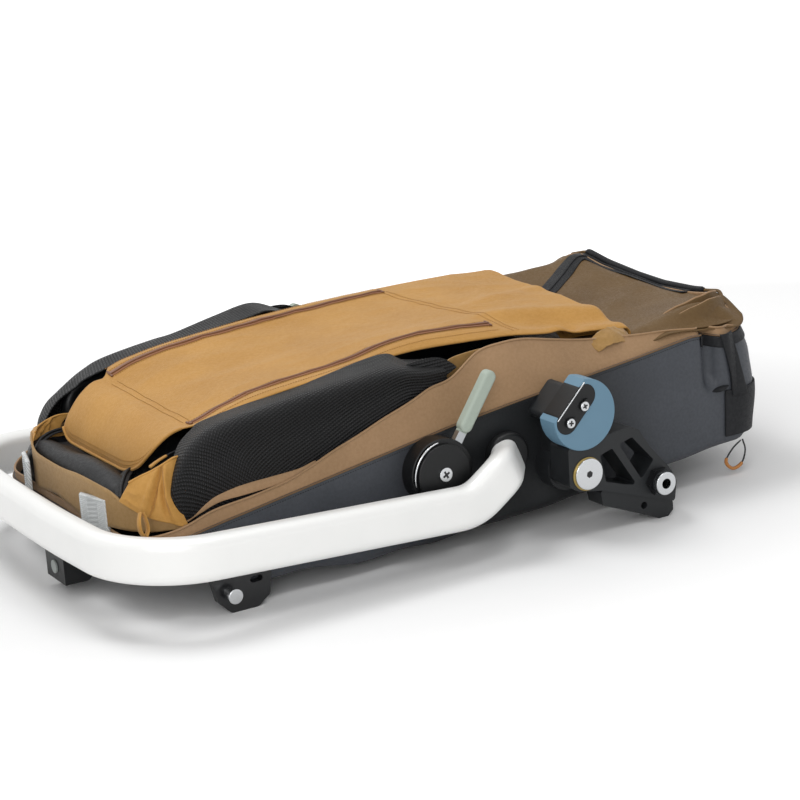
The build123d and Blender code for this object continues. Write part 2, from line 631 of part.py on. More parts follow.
def tube_along(path, radius):
    return sweep(Plane(origin=path @ 0, z_dir=path % 0) * Circle(radius), path=path)


def drawcord():
    """The cord's loop and the bored tube that is threaded on it."""
    radii = corner_radii(CORD_ROUTE, CORD_BEND_SHARE)
    path = FilletPolyline(*CORD_ROUTE, radius=radii)
    print("drawcord length", round(path.length, 1), "radii", [round(r, 1) for r in radii])
    cord = tube_along(path, CORD_R)
    start, end = CORD_SLEEVE_SPAN
    part = path.trim(start, end)
    sleeve = tube_along(part, CORD_SLEEVE_R) - tube_along(part, CORD_R + RUNNING_GAP)
    return cord, sleeve


def main():
    save(tub(), "tub")
    save(tub_skirt(), "tub_skirt")
    save(rear_panel(), "rear_panel")
    save(floor_frame(), "floor_frame")
    both_sides(housing(), "suspension_housing")
    both_sides(suspension_arm(), "suspension_arm")
    both_sides(arm_tail(), "arm_tail")
    both_sides(pivot_bolt(), "pivot_bolt")
    both_sides(axle_nut(), "axle_nut")
    both_sides(axle_ring(), "axle_ring")
    both_sides(puck(), "elastomer_puck")
    both_sides(puck_clamp(), "puck_clamp")
    both_sides(lock_drum(), "lock_drum")
    both_sides(cage_pin(), "cage_pin")
    both_sides(lever(), "lock_lever")
    save(cage_frame(), "cage_frame")
    save(cover_front(), "cover_front")
    save(cover_rear(), "cover_rear")
    both_sides(mesh_side(), "mesh_side")
    save(push_bar(), "push_bar")
    both_sides(hub_cap(), "bar_hub_cap")
    both_sides(hub_boss(), "bar_hub_boss")
    both_sides(front_bracket(), "front_bracket")
    both_sides(pull_pin(), "pull_pin")
    save(nose_block(), "nose_block")
    save(nose_button(), "nose_button")
    save(front_strap(), "front_strap")
    both_sides(reflector(), "reflector")
    cord, sleeve = drawcord()
    save(cord, "drawcord")
    save(sleeve, "drawcord_sleeve")


if __name__ == "__main__":
    main()
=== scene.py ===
"""Dresses the folded dog bike trailer: cloth, mesh, webbing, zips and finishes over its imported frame."""
import json

import bmesh
import bpy
import numpy as np
from mathutils import Matrix, Vector


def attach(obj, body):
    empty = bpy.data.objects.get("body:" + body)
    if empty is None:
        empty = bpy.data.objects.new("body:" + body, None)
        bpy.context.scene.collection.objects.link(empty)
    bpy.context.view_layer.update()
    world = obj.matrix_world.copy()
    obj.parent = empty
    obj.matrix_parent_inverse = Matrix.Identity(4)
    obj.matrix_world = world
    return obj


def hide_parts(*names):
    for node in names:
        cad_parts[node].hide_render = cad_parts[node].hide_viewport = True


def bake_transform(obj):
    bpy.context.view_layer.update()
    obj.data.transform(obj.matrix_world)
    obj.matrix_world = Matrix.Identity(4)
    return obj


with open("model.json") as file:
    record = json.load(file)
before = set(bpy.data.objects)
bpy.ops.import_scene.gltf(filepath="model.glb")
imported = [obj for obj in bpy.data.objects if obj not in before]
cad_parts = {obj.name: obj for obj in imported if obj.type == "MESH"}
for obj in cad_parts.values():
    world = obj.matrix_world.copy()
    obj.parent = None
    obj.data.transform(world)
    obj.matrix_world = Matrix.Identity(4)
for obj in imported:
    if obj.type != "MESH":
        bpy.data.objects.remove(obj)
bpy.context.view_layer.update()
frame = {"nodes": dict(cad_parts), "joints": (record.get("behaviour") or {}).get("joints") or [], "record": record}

# Shapes are drawn in millimetres, with the cage's hinge 15 mm ahead of the drawing's middle.
DRAWN_HINGE_X = -15.0
HINGE = next(joint for joint in frame["joints"] if joint["name"] == "cage_fold")["pos_m"]
SHIFT_X = HINGE[0] * 1000 - DRAWN_HINGE_X

# --- sizes, in millimetres ------------------------------------------------------------------------
TUB_FRONT = -395.0
TUB_REAR = 488.0
TUB_HALF = 225.0
FRONT_RADIUS = 70.0
REAR_RADIUS = 45.0
TUB_BOTTOM = [(-395, 68), (-330, 44), (-280, 25), (-23, 13), (165, 25), (462, 46), (488, 92)]
BELT = [
    (-395, 86), (-313, 103), (-238, 115), (21, 157), (100, 167), (300, 190), (384, 201), (412, 194),
    (443, 193),
]
BELT_REAR = [(0, 212), (150, 215), (180, 208), (205, 198), (225, 193)]
SKIRT_TOP = [
    (-395, 96), (-370, 101), (-340, 109), (-305, 121), (-250, 127), (-205, 133), (-150, 154), (4, 206),
    (25, 205), (82, 233), (120, 236), (150, 233), (221, 219), (285, 213), (340, 211), (384, 207),
    (443, 201),
]
REAR_LIP = [
    (-225, 196), (-205, 203), (-180, 214), (-165, 222), (-148, 228), (-120, 224), (-93, 221), (-27, 219),
    (29, 222), (99, 229), (150, 238), (180, 231), (205, 220), (225, 210),
]
CLOTH_THICK = 1.4
COATED_THICK = 1.8
STRAP_THICK = 2.2
SKIRT_LEAN = [
    (-395, 2), (-150, 6), (-60, 8), (0, 13), (40, 21), (86, 33), (160, 34), (300, 20), (400, 8),
    (443, 4),
]


# --- drawing helpers ------------------------------------------------------------------------------
def metres(points):
    """Drawn millimetres as metres in the part's own frame."""
    return (np.asarray(points, float) + [SHIFT_X, 0, 0]) / 1000


def ease(t):
    """Three t squared less two t cubed, flat at both ends."""
    t = np.clip(t, 0, 1)
    return t * t * (3 - 2 * t)


def along(points, x):
    """The straight lines through drawn points, read at x."""
    points = np.asarray(points, float)
    return np.interp(x, points[:, 0], points[:, 1])


def rounded(points, x, reach=14.0):
    """The lines through drawn points averaged over a reach either side, so that their corners are round."""
    steps = np.linspace(-reach, reach, 9)
    return np.mean([along(points, np.asarray(x) + step) for step in steps], axis=0)


def bump(x, middle, reach):
    """One at the middle, falling off as a bell."""
    return np.exp(-((np.asarray(x) - middle) / reach) ** 2)


def ripple(a, b, size, seed):
    """A sum of seven sine waves in seeded directions, about one high, for slack cloth."""
    chance = np.random.default_rng(seed)
    total = np.zeros(np.broadcast(a, b).shape)
    for turn, phase, scale in zip(chance.uniform(0, np.pi, 7), chance.uniform(0, 6.28, 7),
            chance.uniform(0.7, 1.6, 7)):
        total = total + np.sin((a * np.cos(turn) + b * np.sin(turn)) * 6.28 * scale / size + phase)
    return total / 3


def crease(a, b, size, seed):
    """Ripples folded at zero, which leaves narrow ridges between broad hollows."""
    return 0.6 - np.abs(ripple(a, b, size, seed))


def catmull(p0, p1, p2, p3, f):
    """The Catmull-Rom cubic from p1 to p2 at shares f of the way."""
    square = 2 * p0 - 5 * p1 + 4 * p2 - p3
    cube = 3 * p1 - p0 - 3 * p2 + p3
    return 0.5 * (2 * p1 + (p2 - p0) * f + square * f ** 2 + cube * f ** 3)


def smooth_path(points, count):
    """A Catmull-Rom line through the drawn points, resampled at equal lengths."""
    points = np.asarray(points, float)
    held = np.vstack([2 * points[0] - points[1], points, 2 * points[-1] - points[-2]])
    spans = len(points) - 1
    t = np.linspace(0, spans, spans * 24 + 1)
    k = np.minimum(t.astype(int), spans - 1)
    f = (t - k)[:, None]
    line = catmull(held[k], held[k + 1], held[k + 2], held[k + 3], f)
    return even(line, count)


def even(line, count):
    """Points at equal lengths along a line."""
    steps = np.linalg.norm(np.diff(line, axis=0), axis=1)
    length = np.concatenate([[0], np.cumsum(steps)])
    wanted = np.linspace(0, length[-1], count)
    return np.stack([np.interp(wanted, length, line[:, axis]) for axis in range(line.shape[1])], axis=1)


def across_lines(lines, rows, columns):
    """A sheet through lengthwise lines, joined across by Catmull-Rom lines."""
    drawn = [smooth_path(line, rows) for line in lines]
    spans = len(drawn) - 1
    held = np.stack([2 * drawn[0] - drawn[1], *drawn, 2 * drawn[-1] - drawn[-2]], axis=1)
    t = np.linspace(0, spans, columns)
    k = np.minimum(t.astype(int), spans - 1)
    f = (t - k)[None, :, None]
    return catmull(held[:, k], held[:, k + 1], held[:, k + 2], held[:, k + 3], f)


def unit(vectors):
    """Vectors at length one."""
    return vectors / np.maximum(np.linalg.norm(vectors, axis=-1, keepdims=True), 1e-9)


def directions(line):
    """The direction of a line at each of its points."""
    return unit(np.gradient(line, axis=0))


def finish_mesh(name, points, faces, corner_uv, material, body, slot):
    """A smooth-shaded mesh object at the origin on a body, with corner UVs in metres."""
    mesh = bpy.data.meshes.new(name)
    mesh.from_pydata(metres(points.reshape(-1, 3)).tolist(), [], faces.tolist())
    layer = mesh.uv_layers.new(name="UVMap")
    layer.data.foreach_set("uv", corner_uv.astype(np.float32).ravel())
    mesh.polygons.foreach_set("use_smooth", np.ones(len(mesh.polygons), bool))
    work = bmesh.new()
    work.from_mesh(mesh)
    bmesh.ops.remove_doubles(work, verts=work.verts, dist=1e-6)
    bmesh.ops.dissolve_degenerate(work, edges=work.edges, dist=1e-7)
    work.to_mesh(mesh)
    work.free()
    mesh.materials.append(material)
    obj = bpy.data.objects.new(name, mesh)
    bpy.context.scene.collection.objects.link(obj)
    if body:
        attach(obj, body)
    slot = slot or SLOT_OF.get(material.name)
    return obj


def grid(name, points, material, body="base", slot=None, loop=False, flip=False):
    """Four-sided faces between the neighbours of a grid of points; loop joins its last row to its first."""
    rows, columns = points.shape[:2]
    whole = np.vstack([points, points[:1]]) if loop else points
    down = np.cumsum(np.linalg.norm(np.diff(whole, axis=0, prepend=whole[:1]), axis=2), axis=0)
    across = np.cumsum(np.linalg.norm(np.diff(whole, axis=1, prepend=whole[:, :1]), axis=2), axis=1)
    down = down.mean(axis=1, keepdims=True) + np.zeros_like(down)
    uv = np.stack([down, across], axis=2) / 1000
    i, j = np.meshgrid(np.arange(len(whole) - 1), np.arange(columns - 1), indexing="ij")
    i, j = i.ravel(), j.ravel()
    turn = [(0, 0), (0, 1), (1, 1), (1, 0)] if flip else [(0, 0), (1, 0), (1, 1), (0, 1)]
    faces = np.stack([((i + a) % rows) * columns + j + b for a, b in turn], axis=1)
    corner_uv = np.stack([uv[i + a, j + b] for a, b in turn], axis=1)
    return finish_mesh(name, points, faces, corner_uv, material, body, slot)


def thicken(obj, thickness, offset=-1.0):
    """A Solidify modifier in millimetres; offset -1 thickens away from the faces."""
    solid = obj.modifiers.new("thickness", "SOLIDIFY")
    solid.thickness = thickness / 1000
    solid.offset = offset
    solid.use_even_offset = False
    return obj


def carried(line, across, up, profile):
    """A profile of (sideways, outward) pairs carried along a line, one ring a point."""
    profile = np.asarray(profile, float)
    if profile.ndim == 2:
        profile = np.broadcast_to(profile, (len(line),) + profile.shape)
    return line[:, None] + across[:, None] * profile[:, :, :1] + up[:, None] * profile[:, :, 1:]


def tube(name, line, radius, material, body="base", slot=None, sides=10, flat=1.0):
    """Rings carried along a line by the least turning, closed at both ends by a rounded cap."""
    line = np.asarray(line, float)
    forward = directions(line)
    side = np.zeros_like(forward)
    start = np.cross(forward[0], [0, 0, 1.0])
    if np.linalg.norm(start) < 0.1:
        start = np.cross(forward[0], [0, 1.0, 0])
    side[0] = unit(start)
    for step in range(1, len(line)):
        side[step] = unit(side[step - 1] - forward[step] * (side[step - 1] @ forward[step]))
    up = np.cross(side, forward)
    radius = np.broadcast_to(np.asarray(radius, float), (len(line),)).copy()
    angle = np.linspace(0, 2 * np.pi, sides, endpoint=False)
    ring = np.stack([np.cos(angle), flat * np.sin(angle)], axis=1)
    body_rings = carried(line, side, up, radius[:, None, None] * ring)
    caps = []
    for end, sign in ((0, -1), (-1, 1)):
        lean = np.array([0.0, 0.5, 0.85]) if sign < 0 else np.array([0.85, 0.5, 0.0])
        reach = radius[end] * np.sqrt(1 - lean ** 2)
        centre = line[end] + sign * forward[end] * reach[:, None] * min(1.0, flat)
        caps.append(carried(centre, np.repeat(side[end][None], 3, 0), np.repeat(up[end][None], 3, 0),
                            (radius[end] * lean)[:, None, None] * ring))
    rings = np.concatenate([caps[0], body_rings, caps[1]])
    closed = np.concatenate([rings, rings[:, :1]], axis=1)
    return grid(name, closed, material, body, slot, flip=True)


def ribbon(name, line, outward, width, thickness, material, body="base", slot=None, edge=0.5):
    """A strap's rounded flat section carried along a line, its face turned outward."""
    line = np.asarray(line, float)
    forward = directions(line)
    outward = unit(np.broadcast_to(np.asarray(outward, float), line.shape))
    across = unit(np.cross(outward, forward))
    up = np.cross(forward, across)
    width = np.broadcast_to(np.asarray(width, float), (len(line),))
    half = width[:, None] / 2
    t = thickness / 2
    sideways = np.concatenate([half - edge, half, half, half - edge, -half + edge, -half, -half, -half + edge],
            axis=1)
    lift = np.array([t, t - edge, -t + edge, -t, -t, -t + edge, t - edge, t])
    profile = np.stack([sideways, np.broadcast_to(lift, sideways.shape)], axis=2)
    rings = carried(line, across, up, profile)
    ends = [rings[:1].mean(axis=1, keepdims=True) + 0 * rings[:1], rings,
            rings[-1:].mean(axis=1, keepdims=True) + 0 * rings[-1:]]
    rings = np.concatenate(ends)
    closed = np.concatenate([rings, rings[:, :1]], axis=1)
    return grid(name, closed, material, body, slot)


def stitches(name, line, outward, material, body="base", slot=None, pitch=3.4, size=0.45):
    """A thread dash at each pitch along a line: a spindle of four sides, sunk to half its height."""
    line = np.asarray(line, float)
    length = np.linalg.norm(np.diff(line, axis=0), axis=1).sum()
    count = max(2, int(length / pitch))
    outward = np.broadcast_to(np.asarray(outward, float), line.shape)
    joined = even(np.concatenate([line, outward * 0.001], axis=1), count)
    middle, out = joined[:, :3], unit(joined[:, 3:])
    forward = directions(middle)
    side = unit(np.cross(out, forward))
    reach = pitch * 0.36
    stations = [(-reach, 0.0), (-reach * 0.6, 1.0), (reach * 0.6, 1.0), (reach, 0.0)]
    rings = []
    for shift, grow in stations:
        centre = middle + forward * shift
        around = [side, out, -side, -out]
        rings.append(np.stack([centre + vector * size * grow for vector in around], axis=1))
    points = np.stack(rings, axis=1)
    base = (np.arange(count) * 16)[:, None, None]
    quads = np.array([[s * 4 + k, s * 4 + (k + 1) % 4, s * 4 + 4 + (k + 1) % 4, s * 4 + 4 + k]
                      for s in range(3) for k in range(4)])
    faces = (base + quads[None]).reshape(-1, 4)
    corner_uv = np.zeros((len(faces), 4, 2))
    return finish_mesh(name, points, faces, corner_uv, material, body, slot)


def surface_line(surface, a, b, lift):
    """Points on a surface of two parameters, lifted along its normal, and that normal."""
    step = 0.5
    here = surface(a, b)
    normal = unit(np.cross(surface(a + step, b) - here, surface(a, b + step) - here))
    return here + normal * lift, normal


# --- finishes -------------------------------------------------------------------------------------
def colour(text):
    """A written colour as the shader's linear red, green, blue and alpha."""
    value = np.array([int(text[k:k + 2], 16) for k in (1, 3, 5)]) / 255
    linear = np.where(value <= 0.04045, value / 12.92, ((value + 0.055) / 1.055) ** 2.4)
    return (*linear.tolist(), 1.0)


def new_material(name):
    """An empty node material with its shader and output."""
    material = bpy.data.materials.new(name)
    material.use_nodes = True
    tree = material.node_tree
    return material, tree, tree.nodes["Principled BSDF"]


def add(tree, kind, **inputs):
    """A shader node with values or links for its inputs, whose spaces are written as underscores."""
    node = tree.nodes.new(kind)
    for key, value in inputs.items():
        if key.startswith("set_"):
            setattr(node, key[4:], value)
            continue
        numbered = key.startswith("in") and key[2:].isdigit()
        socket = node.inputs[int(key[2:]) if numbered else key.replace("_", " ")]
        if isinstance(value, bpy.types.NodeSocket):
            tree.links.new(value, socket)
        else:
            socket.default_value = value
    return node


def maths(tree, operation, first, second=0.0):
    """One sum, product or other step between two values."""
    return add(tree, "ShaderNodeMath", set_operation=operation, in0=first, in1=second).outputs[0]


def blended(tree, share, low, high):
    """A colour between two, by share."""
    node = add(tree, "ShaderNodeMix", set_data_type="RGBA", in0=share)
    for socket, value in ((node.inputs[6], low), (node.inputs[7], high)):
        if isinstance(value, bpy.types.NodeSocket):
            tree.links.new(value, socket)
        else:
            socket.default_value = value
    return node.outputs[2]


def spread(tree, value, low, high, to_low=0.0, to_high=1.0):
    """A value's range from low to high laid over another range."""
    return add(tree, "ShaderNodeMapRange", in0=value, in1=low, in2=high, in3=to_low, in4=to_high).outputs[0]


def noise(tree, place, scale, detail=3.0):
    """Soft noise at a place."""
    return add(tree, "ShaderNodeTexNoise", Vector=place, Scale=scale, Detail=detail).outputs[0]


def weave_height(tree, place, pitch, lean=0.0):
    """Warp and weft as two crossed sine waves; where one is up the other is down."""
    split = add(tree, "ShaderNodeSeparateXYZ", Vector=place)
    turn = 6.283 / (pitch / 1000)
    along_warp = maths(tree, "ADD", split.outputs[0], maths(tree, "MULTIPLY", split.outputs[1], lean))
    along_weft = maths(tree, "SUBTRACT", split.outputs[1], maths(tree, "MULTIPLY", split.outputs[0], lean))
    u = maths(tree, "MULTIPLY", along_warp, turn)
    v = maths(tree, "MULTIPLY", along_weft, turn)
    return maths(tree, "MULTIPLY", maths(tree, "SINE", u), maths(tree, "SINE", v))


def dress(tree, shader, base, rough, relief, **constants):
    """Links colour, roughness and relief (strength, metres, height), and sets the shader's constants."""
    tree.links.new(base, shader.inputs["Base Color"])
    tree.links.new(rough, shader.inputs["Roughness"])
    strength, distance, height = relief
    bumps = add(tree, "ShaderNodeBump", Strength=strength, Distance=distance, Height=height)
    tree.links.new(bumps.outputs[0], shader.inputs["Normal"])
    for key, value in constants.items():
        shader.inputs[key.replace("_", " ")].default_value = value


def woven(name, main, deep, pitch, rough, bump_mm=0.08, sheen=0.25, mottle=0.5, specular=0.35):
    """Woven cloth: crossed threads in the bump and colour, slow mottling, and a little sheen."""
    material, tree, shader = new_material(name)
    texture = add(tree, "ShaderNodeTexCoord")
    threads = weave_height(tree, texture.outputs["UV"], pitch)
    slow = noise(tree, texture.outputs["Object"], 9.0)
    fine = noise(tree, texture.outputs["Object"], 260.0, 2.0)
    share = maths(tree, "ADD", spread(tree, slow, 0.3, 0.7, 0.0, mottle), spread(tree, threads, -1.0, 1.0,
            0.25, -0.05))
    share = maths(tree, "ADD", share, spread(tree, fine, 0.35, 0.65, -0.08, 0.12))
    rough = spread(tree, fine, 0.3, 0.7, rough - 0.06, rough + 0.08)
    height = maths(tree, "ADD", threads, maths(tree, "MULTIPLY", fine, 0.8))
    dress(tree, shader, blended(tree, share, colour(main), colour(deep)), rough, (0.55, bump_mm / 1000,
            height),
          Sheen_Weight=sheen, Sheen_Roughness=0.45, Specular_IOR_Level=specular)
    return material


def shaded_between(material, rise, fall, dark):
    """Paints shade on a cloth: a darker colour between two places along its length, with soft ends."""
    tree = material.node_tree
    socket = next(node for node in tree.nodes if node.type == "BSDF_PRINCIPLED").inputs["Base Color"]
    plain = socket.links[0].from_socket
    place = add(tree, "ShaderNodeTexCoord").outputs["Object"]
    forward = add(tree, "ShaderNodeSeparateXYZ", Vector=place).outputs["X"]
    share = maths(tree, "MINIMUM", spread(tree, forward, *rise, 0.0, 1.0), spread(tree, forward, *fall, 1.0,
            0.0))
    tree.links.new(blended(tree, share, plain, colour(dark)), socket)


def hard(name, main, rough, metal=0.0, grain=400.0, grain_mm=0.02, coat=0.0, worn=None, mottle=0.25,
         specular=0.5):
    """A hard finish: fine grain in the bump, broken roughness, and a paler worn tint in patches."""
    material, tree, shader = new_material(name)
    place = add(tree, "ShaderNodeTexCoord").outputs["Object"]
    fine = noise(tree, place, grain, 2.0)
    slow = noise(tree, place, 22.0, 4.0)
    share = spread(tree, slow, 0.42, 0.72, 0.0, mottle)
    rough = spread(tree, slow, 0.3, 0.7, rough - 0.05, rough + 0.07)
    dress(tree, shader, blended(tree, share, colour(main), colour(worn or main)), rough, (0.4, grain_mm / 1000,
            fine),
          Metallic=metal, Coat_Weight=coat, Specular_IOR_Level=specular)
    return material


def mesh_weave(name, main, thread, pitch):
    """Coated mesh: leaning crossed threads, glossy crowns over dark holes, and slow patches of gloss."""
    material, tree, shader = new_material(name)
    texture = add(tree, "ShaderNodeTexCoord")
    threads = weave_height(tree, texture.outputs["UV"], pitch, 0.5)
    slow = noise(tree, texture.outputs["Object"], 14.0)
    crown = spread(tree, threads, 0.1, 0.9)
    gloss = maths(tree, "ADD", spread(tree, crown, 0.0, 1.0, 0.65, 0.24), spread(tree, slow, 0.35, 0.65, -0.04,
            0.08))
    dress(tree, shader, blended(tree, crown, colour(main), colour(thread)), gloss, (0.9, 0.0009, threads),
          Specular_IOR_Level=0.32)
    return material


def lens_plastic(name, clear, groove_painted_shade):
    """Moulded lens: fine crossed prisms, pale on their crowns and painted grey in their grooves as shade."""
    material, tree, shader = new_material(name)
    place = add(tree, "ShaderNodeTexCoord").outputs["UV"]
    prisms = weave_height(tree, place, 3.4, 0.4)
    share = spread(tree, prisms, -0.5, 0.6, 0.75, 0.0)
    rough = spread(tree, prisms, -1.0, 1.0, 0.3, 0.1)
    dress(tree, shader, blended(tree, share, colour(clear), colour(groove_painted_shade)), rough, (0.7, 0.0004, prisms),
          Coat_Weight=0.5)
    return material


def lever_paint(name, grip, neck, from_x, from_z, along_x, along_z, neck_end):
    """The grip's colour beyond a length from the lever's root, and bare steel before it."""
    material, tree, shader = new_material(name)
    place = add(tree, "ShaderNodeTexCoord").outputs["Object"]
    split = add(tree, "ShaderNodeSeparateXYZ", Vector=place)
    run = maths(tree, "MULTIPLY", maths(tree, "SUBTRACT", split.outputs[0], from_x), along_x)
    rise = maths(tree, "MULTIPLY", maths(tree, "SUBTRACT", split.outputs[2], from_z), along_z)
    on_grip = spread(tree, maths(tree, "ADD", run, rise), neck_end, neck_end + 0.001)
    fine = noise(tree, place, 700.0, 2.0)
    grain = spread(tree, fine, 0.3, 0.7, 0.0, 0.2)
    rubber = blended(tree, grain, colour(grip), colour("#B4BEB0"))
    rough = spread(tree, on_grip, 0.0, 1.0, 0.28, 0.55)
    tree.links.new(spread(tree, on_grip, 0.0, 1.0, 0.9, 0.0), shader.inputs["Metallic"])
    dress(tree, shader, blended(tree, on_grip, colour(neck), rubber), rough, (0.4, 0.00005, fine))
    return material


golden = woven("golden_cloth", "#C29149", "#A87936", 0.7, 0.62, sheen=0.1)
golden_inside = woven("golden_cloth_inside", "#B08A52", "#8E6B3A", 0.7, 0.75)
brown = woven("brown_cloth", "#A98764", "#8B6E4E", 0.7, 0.6, sheen=0.1)
# Painted shade: a darker copy of the brown cloth, used on the rear panel, its lip and its pleat.
brown_painted_shade = woven("brown_panel_cloth", "#6F5736", "#57432B", 0.7, 0.55, sheen=0.0, specular=0.2)
tub_dark = woven("coated_dark_cloth", "#4A4D53", "#393C41", 0.9, 0.5, bump_mm=0.05, sheen=0.0, specular=0.3)
# Painted shade: the tub's cloth is darker between the lock drum and the suspension puck.
shaded_between(tub_dark, (-0.13, 0.02), (0.17, 0.31), "#17191B")
front_dark = woven("smooth_black_cloth", "#131416", "#0B0C0D", 0.8, 0.45, bump_mm=0.05, sheen=0.0,
                   specular=0.25)
mesh_black = mesh_weave("side_mesh", "#030304", "#101113", 6.0)
zip_black = woven("black_zip_tape", "#0C0D0F", "#15161A", 1.1, 0.5, bump_mm=0.2, sheen=0.0, specular=0.2)
webbing = woven("ribbed_webbing", "#A58455", "#84673F", 1.6, 0.6, bump_mm=0.25, sheen=0.05)
webbing_dark = woven("dark_webbing", "#1E1F22", "#131416", 1.6, 0.6, bump_mm=0.25, sheen=0.0, specular=0.25)
zip_brown = woven("brown_zip_tape", "#96623A", "#7A4C2A", 1.1, 0.55, bump_mm=0.15)
zip_teeth = hard("brown_zip_teeth", "#6E4428", 0.4, worn="#8A5A36")
golden_thread = hard("golden_thread", "#A87B3C", 0.75)
brown_thread = hard("brown_thread", "#6B5238", 0.75)
black_thread = hard("black_thread", "#232427", 0.7, specular=0.2)
black_plastic = hard("moulded_black_plastic", "#111213", 0.42, grain=900.0, grain_mm=0.03, worn="#1B1C1E",
                     specular=0.3)
black_casting = hard("black_casting", "#1C1E20", 0.48, grain=700.0, grain_mm=0.05, worn="#2A2D2F",
                     specular=0.35)
frame_paint = hard("black_frame_paint", "#17181A", 0.35, worn="#222426")
cage_paint = hard("cage_tube_paint", "#1B1C1E", 0.4, worn="#2A2B2D")
satin_aluminium = hard("satin_white_aluminium", "#F4F4F2", 0.36, metal=0.1, grain=1200.0, grain_mm=0.01,
                       coat=0.1, worn="#EBECEA")
bright_steel = hard("bright_steel", "#C9CBCD", 0.22, metal=1.0, grain=900.0, grain_mm=0.008, worn="#B5B8BA")
black_steel = hard("black_steel", "#2A2B2D", 0.3, metal=0.7, worn="#3B3C3E")
blue_elastomer = hard("blue_elastomer", "#62859B", 0.5, grain=600.0, grain_mm=0.04, worn="#7092A6")
grip_rubber = hard("grey_green_grip", "#A3AEA2", 0.5, grain=700.0, grain_mm=0.05, worn="#B1BBAF")
grey_plastic = hard("grey_plastic", "#8A8F8C", 0.45, worn="#9A9F9C")
# The grey in the lens's prism grooves is painted shade.
lens_clear = lens_plastic("clear_lens", "#ECEFF0", "#8F9698")
tan_rubber = hard("tan_rubber", "#B5773C", 0.5, worn="#C68A4E")
# Painted shade for hollows: the screws' cross recesses and the pivot's hex socket are laid on as dark plugs.
recess_painted_shade = hard("dark_socket", "#101112", 0.6)
brass = hard("brass_rim", "#A08A52", 0.35, metal=0.8)
LEVER_ROOT = metres([9, 0, 141])
LEVER_ALONG = unit(np.array([54.0, 79.0]))
lever_finish = lever_paint("lever_grip_and_neck", "#A3AEA2", "#A9ACAE", float(LEVER_ROOT[0]),
        float(LEVER_ROOT[2]),
                           float(LEVER_ALONG[0]), float(LEVER_ALONG[1]), 0.014)
cord_cloth = woven("cord_cloth", "#2A2B2E", "#1C1D1F", 0.8, 0.6, bump_mm=0.1)

# The slot that each finish is listed under.
SLOTS = {
    "golden_fabric": (golden, golden_inside, golden_thread,),
    "brown_fabric": (brown, brown_painted_shade, brown_thread,),
    "tub_fabric": (tub_dark, front_dark, webbing_dark,),
    "black_mesh": (mesh_black, zip_black,),
    "brown_webbing": (webbing, zip_brown, zip_teeth,),
    "bright_steel": (bright_steel,),
}
SLOT_OF = {finish.name: slot for slot, finishes in SLOTS.items() for finish in finishes}


# --- plan of the tub ------------------------------------------------------------------------------
def plan_line(count=3000):
    """Once round the tub from the middle of its rear: straights joined by quarter circles."""
    quarter = np.linspace(0, np.pi / 2, 60)
    parts = [np.array([[TUB_REAR, 0.0]])]
    for x, y, r, start in ((TUB_REAR, -TUB_HALF, REAR_RADIUS, 0.0), (TUB_FRONT, -TUB_HALF, FRONT_RADIUS,
            -np.pi / 2),
                           (TUB_FRONT, TUB_HALF, FRONT_RADIUS, -np.pi), (TUB_REAR, TUB_HALF, REAR_RADIUS,
                                   -1.5 * np.pi)):
        middle = np.array([x - np.sign(x) * r, y - np.sign(y) * r])
        angle = start - quarter
        parts.append(middle + r * np.stack([np.cos(angle), np.sin(angle)], axis=1))
    parts.append(np.array([[TUB_REAR, 0.0]]))
    return even(np.concatenate(parts), count)


PLAN = plan_line()
PLAN_OUT = unit(np.stack([-directions(PLAN)[:, 1], directions(PLAN)[:, 0]], axis=1))
PLAN_OUT[0] = PLAN_OUT[-1] = [1, 0]


def plan(s):
    """The place and the outward direction at a share s of the way round the tub."""
    t = np.mod(np.asarray(s, float), 1) * (len(PLAN) - 1)
    steps = np.arange(len(PLAN))
    place = np.stack([np.interp(t, steps, PLAN[:, axis]) for axis in (0, 1)], axis=-1)
    out = np.stack([np.interp(t, steps, PLAN_OUT[:, axis]) for axis in (0, 1)], axis=-1)
    return place, unit(out)


def belt_height(x, y):
    """Where dark cloth meets brown: by length along the sides, by width across the rear."""
    side = rounded(BELT, x)
    rear = rounded(BELT_REAR, np.abs(y), 8.0)
    return side + (rear - side) * ease((x - 436) / 14)


def rear_lip(y):
    """The top of the rear wall, which droops in its middle and at its corners."""
    return rounded(REAR_LIP, y, 8.0)


def skirt_height(x, y):
    """The brown skirt's free edge."""
    side = rounded(SKIRT_TOP, x) - 9 * bump(x, 110, 90) * (np.asarray(y) > 0)
    return side + (rear_lip(y) - side) * ease((x - 440) / 26)


def wall(s, height, share):
    """A point on the tub's wall at a share s round it and a height, bulged out and creased as cloth is."""
    place, out = plan(s)
    x, y = place[..., 0], place[..., 1]
    rear = ease((x - 400) / 80)
    side = 1 - ease((np.abs(x - 40) - 330) / 70)
    push = rear * (6 * bump(height, 112, 40) - 17 * ease((height - 160) / 60))
    push = push + side * 2.5 * np.sin(np.pi * np.clip(share, 0, 1))
    push = push + 1.0 * ripple(x + y * 0.3, height * 0.8, 190, 3) * np.sin(np.pi * np.clip(share, 0.03, 1))
    push = push - 19.0 * bump(x, 404, 8) * ease((height - 118) / 26) * (x < 440)
    push = push + 6.0 * bump(x, 427, 11) * ease((height - 112) / 30) * (x < 440)
    droop = bump(height, along(TUB_BOTTOM, x) + 12, 26)
    push = push + side * droop * 3.0 * ripple(x, height * 0.35, 120, 11)
    flat = place + out * push[..., None]
    return np.concatenate([flat, np.asarray(height)[..., None]], axis=-1)


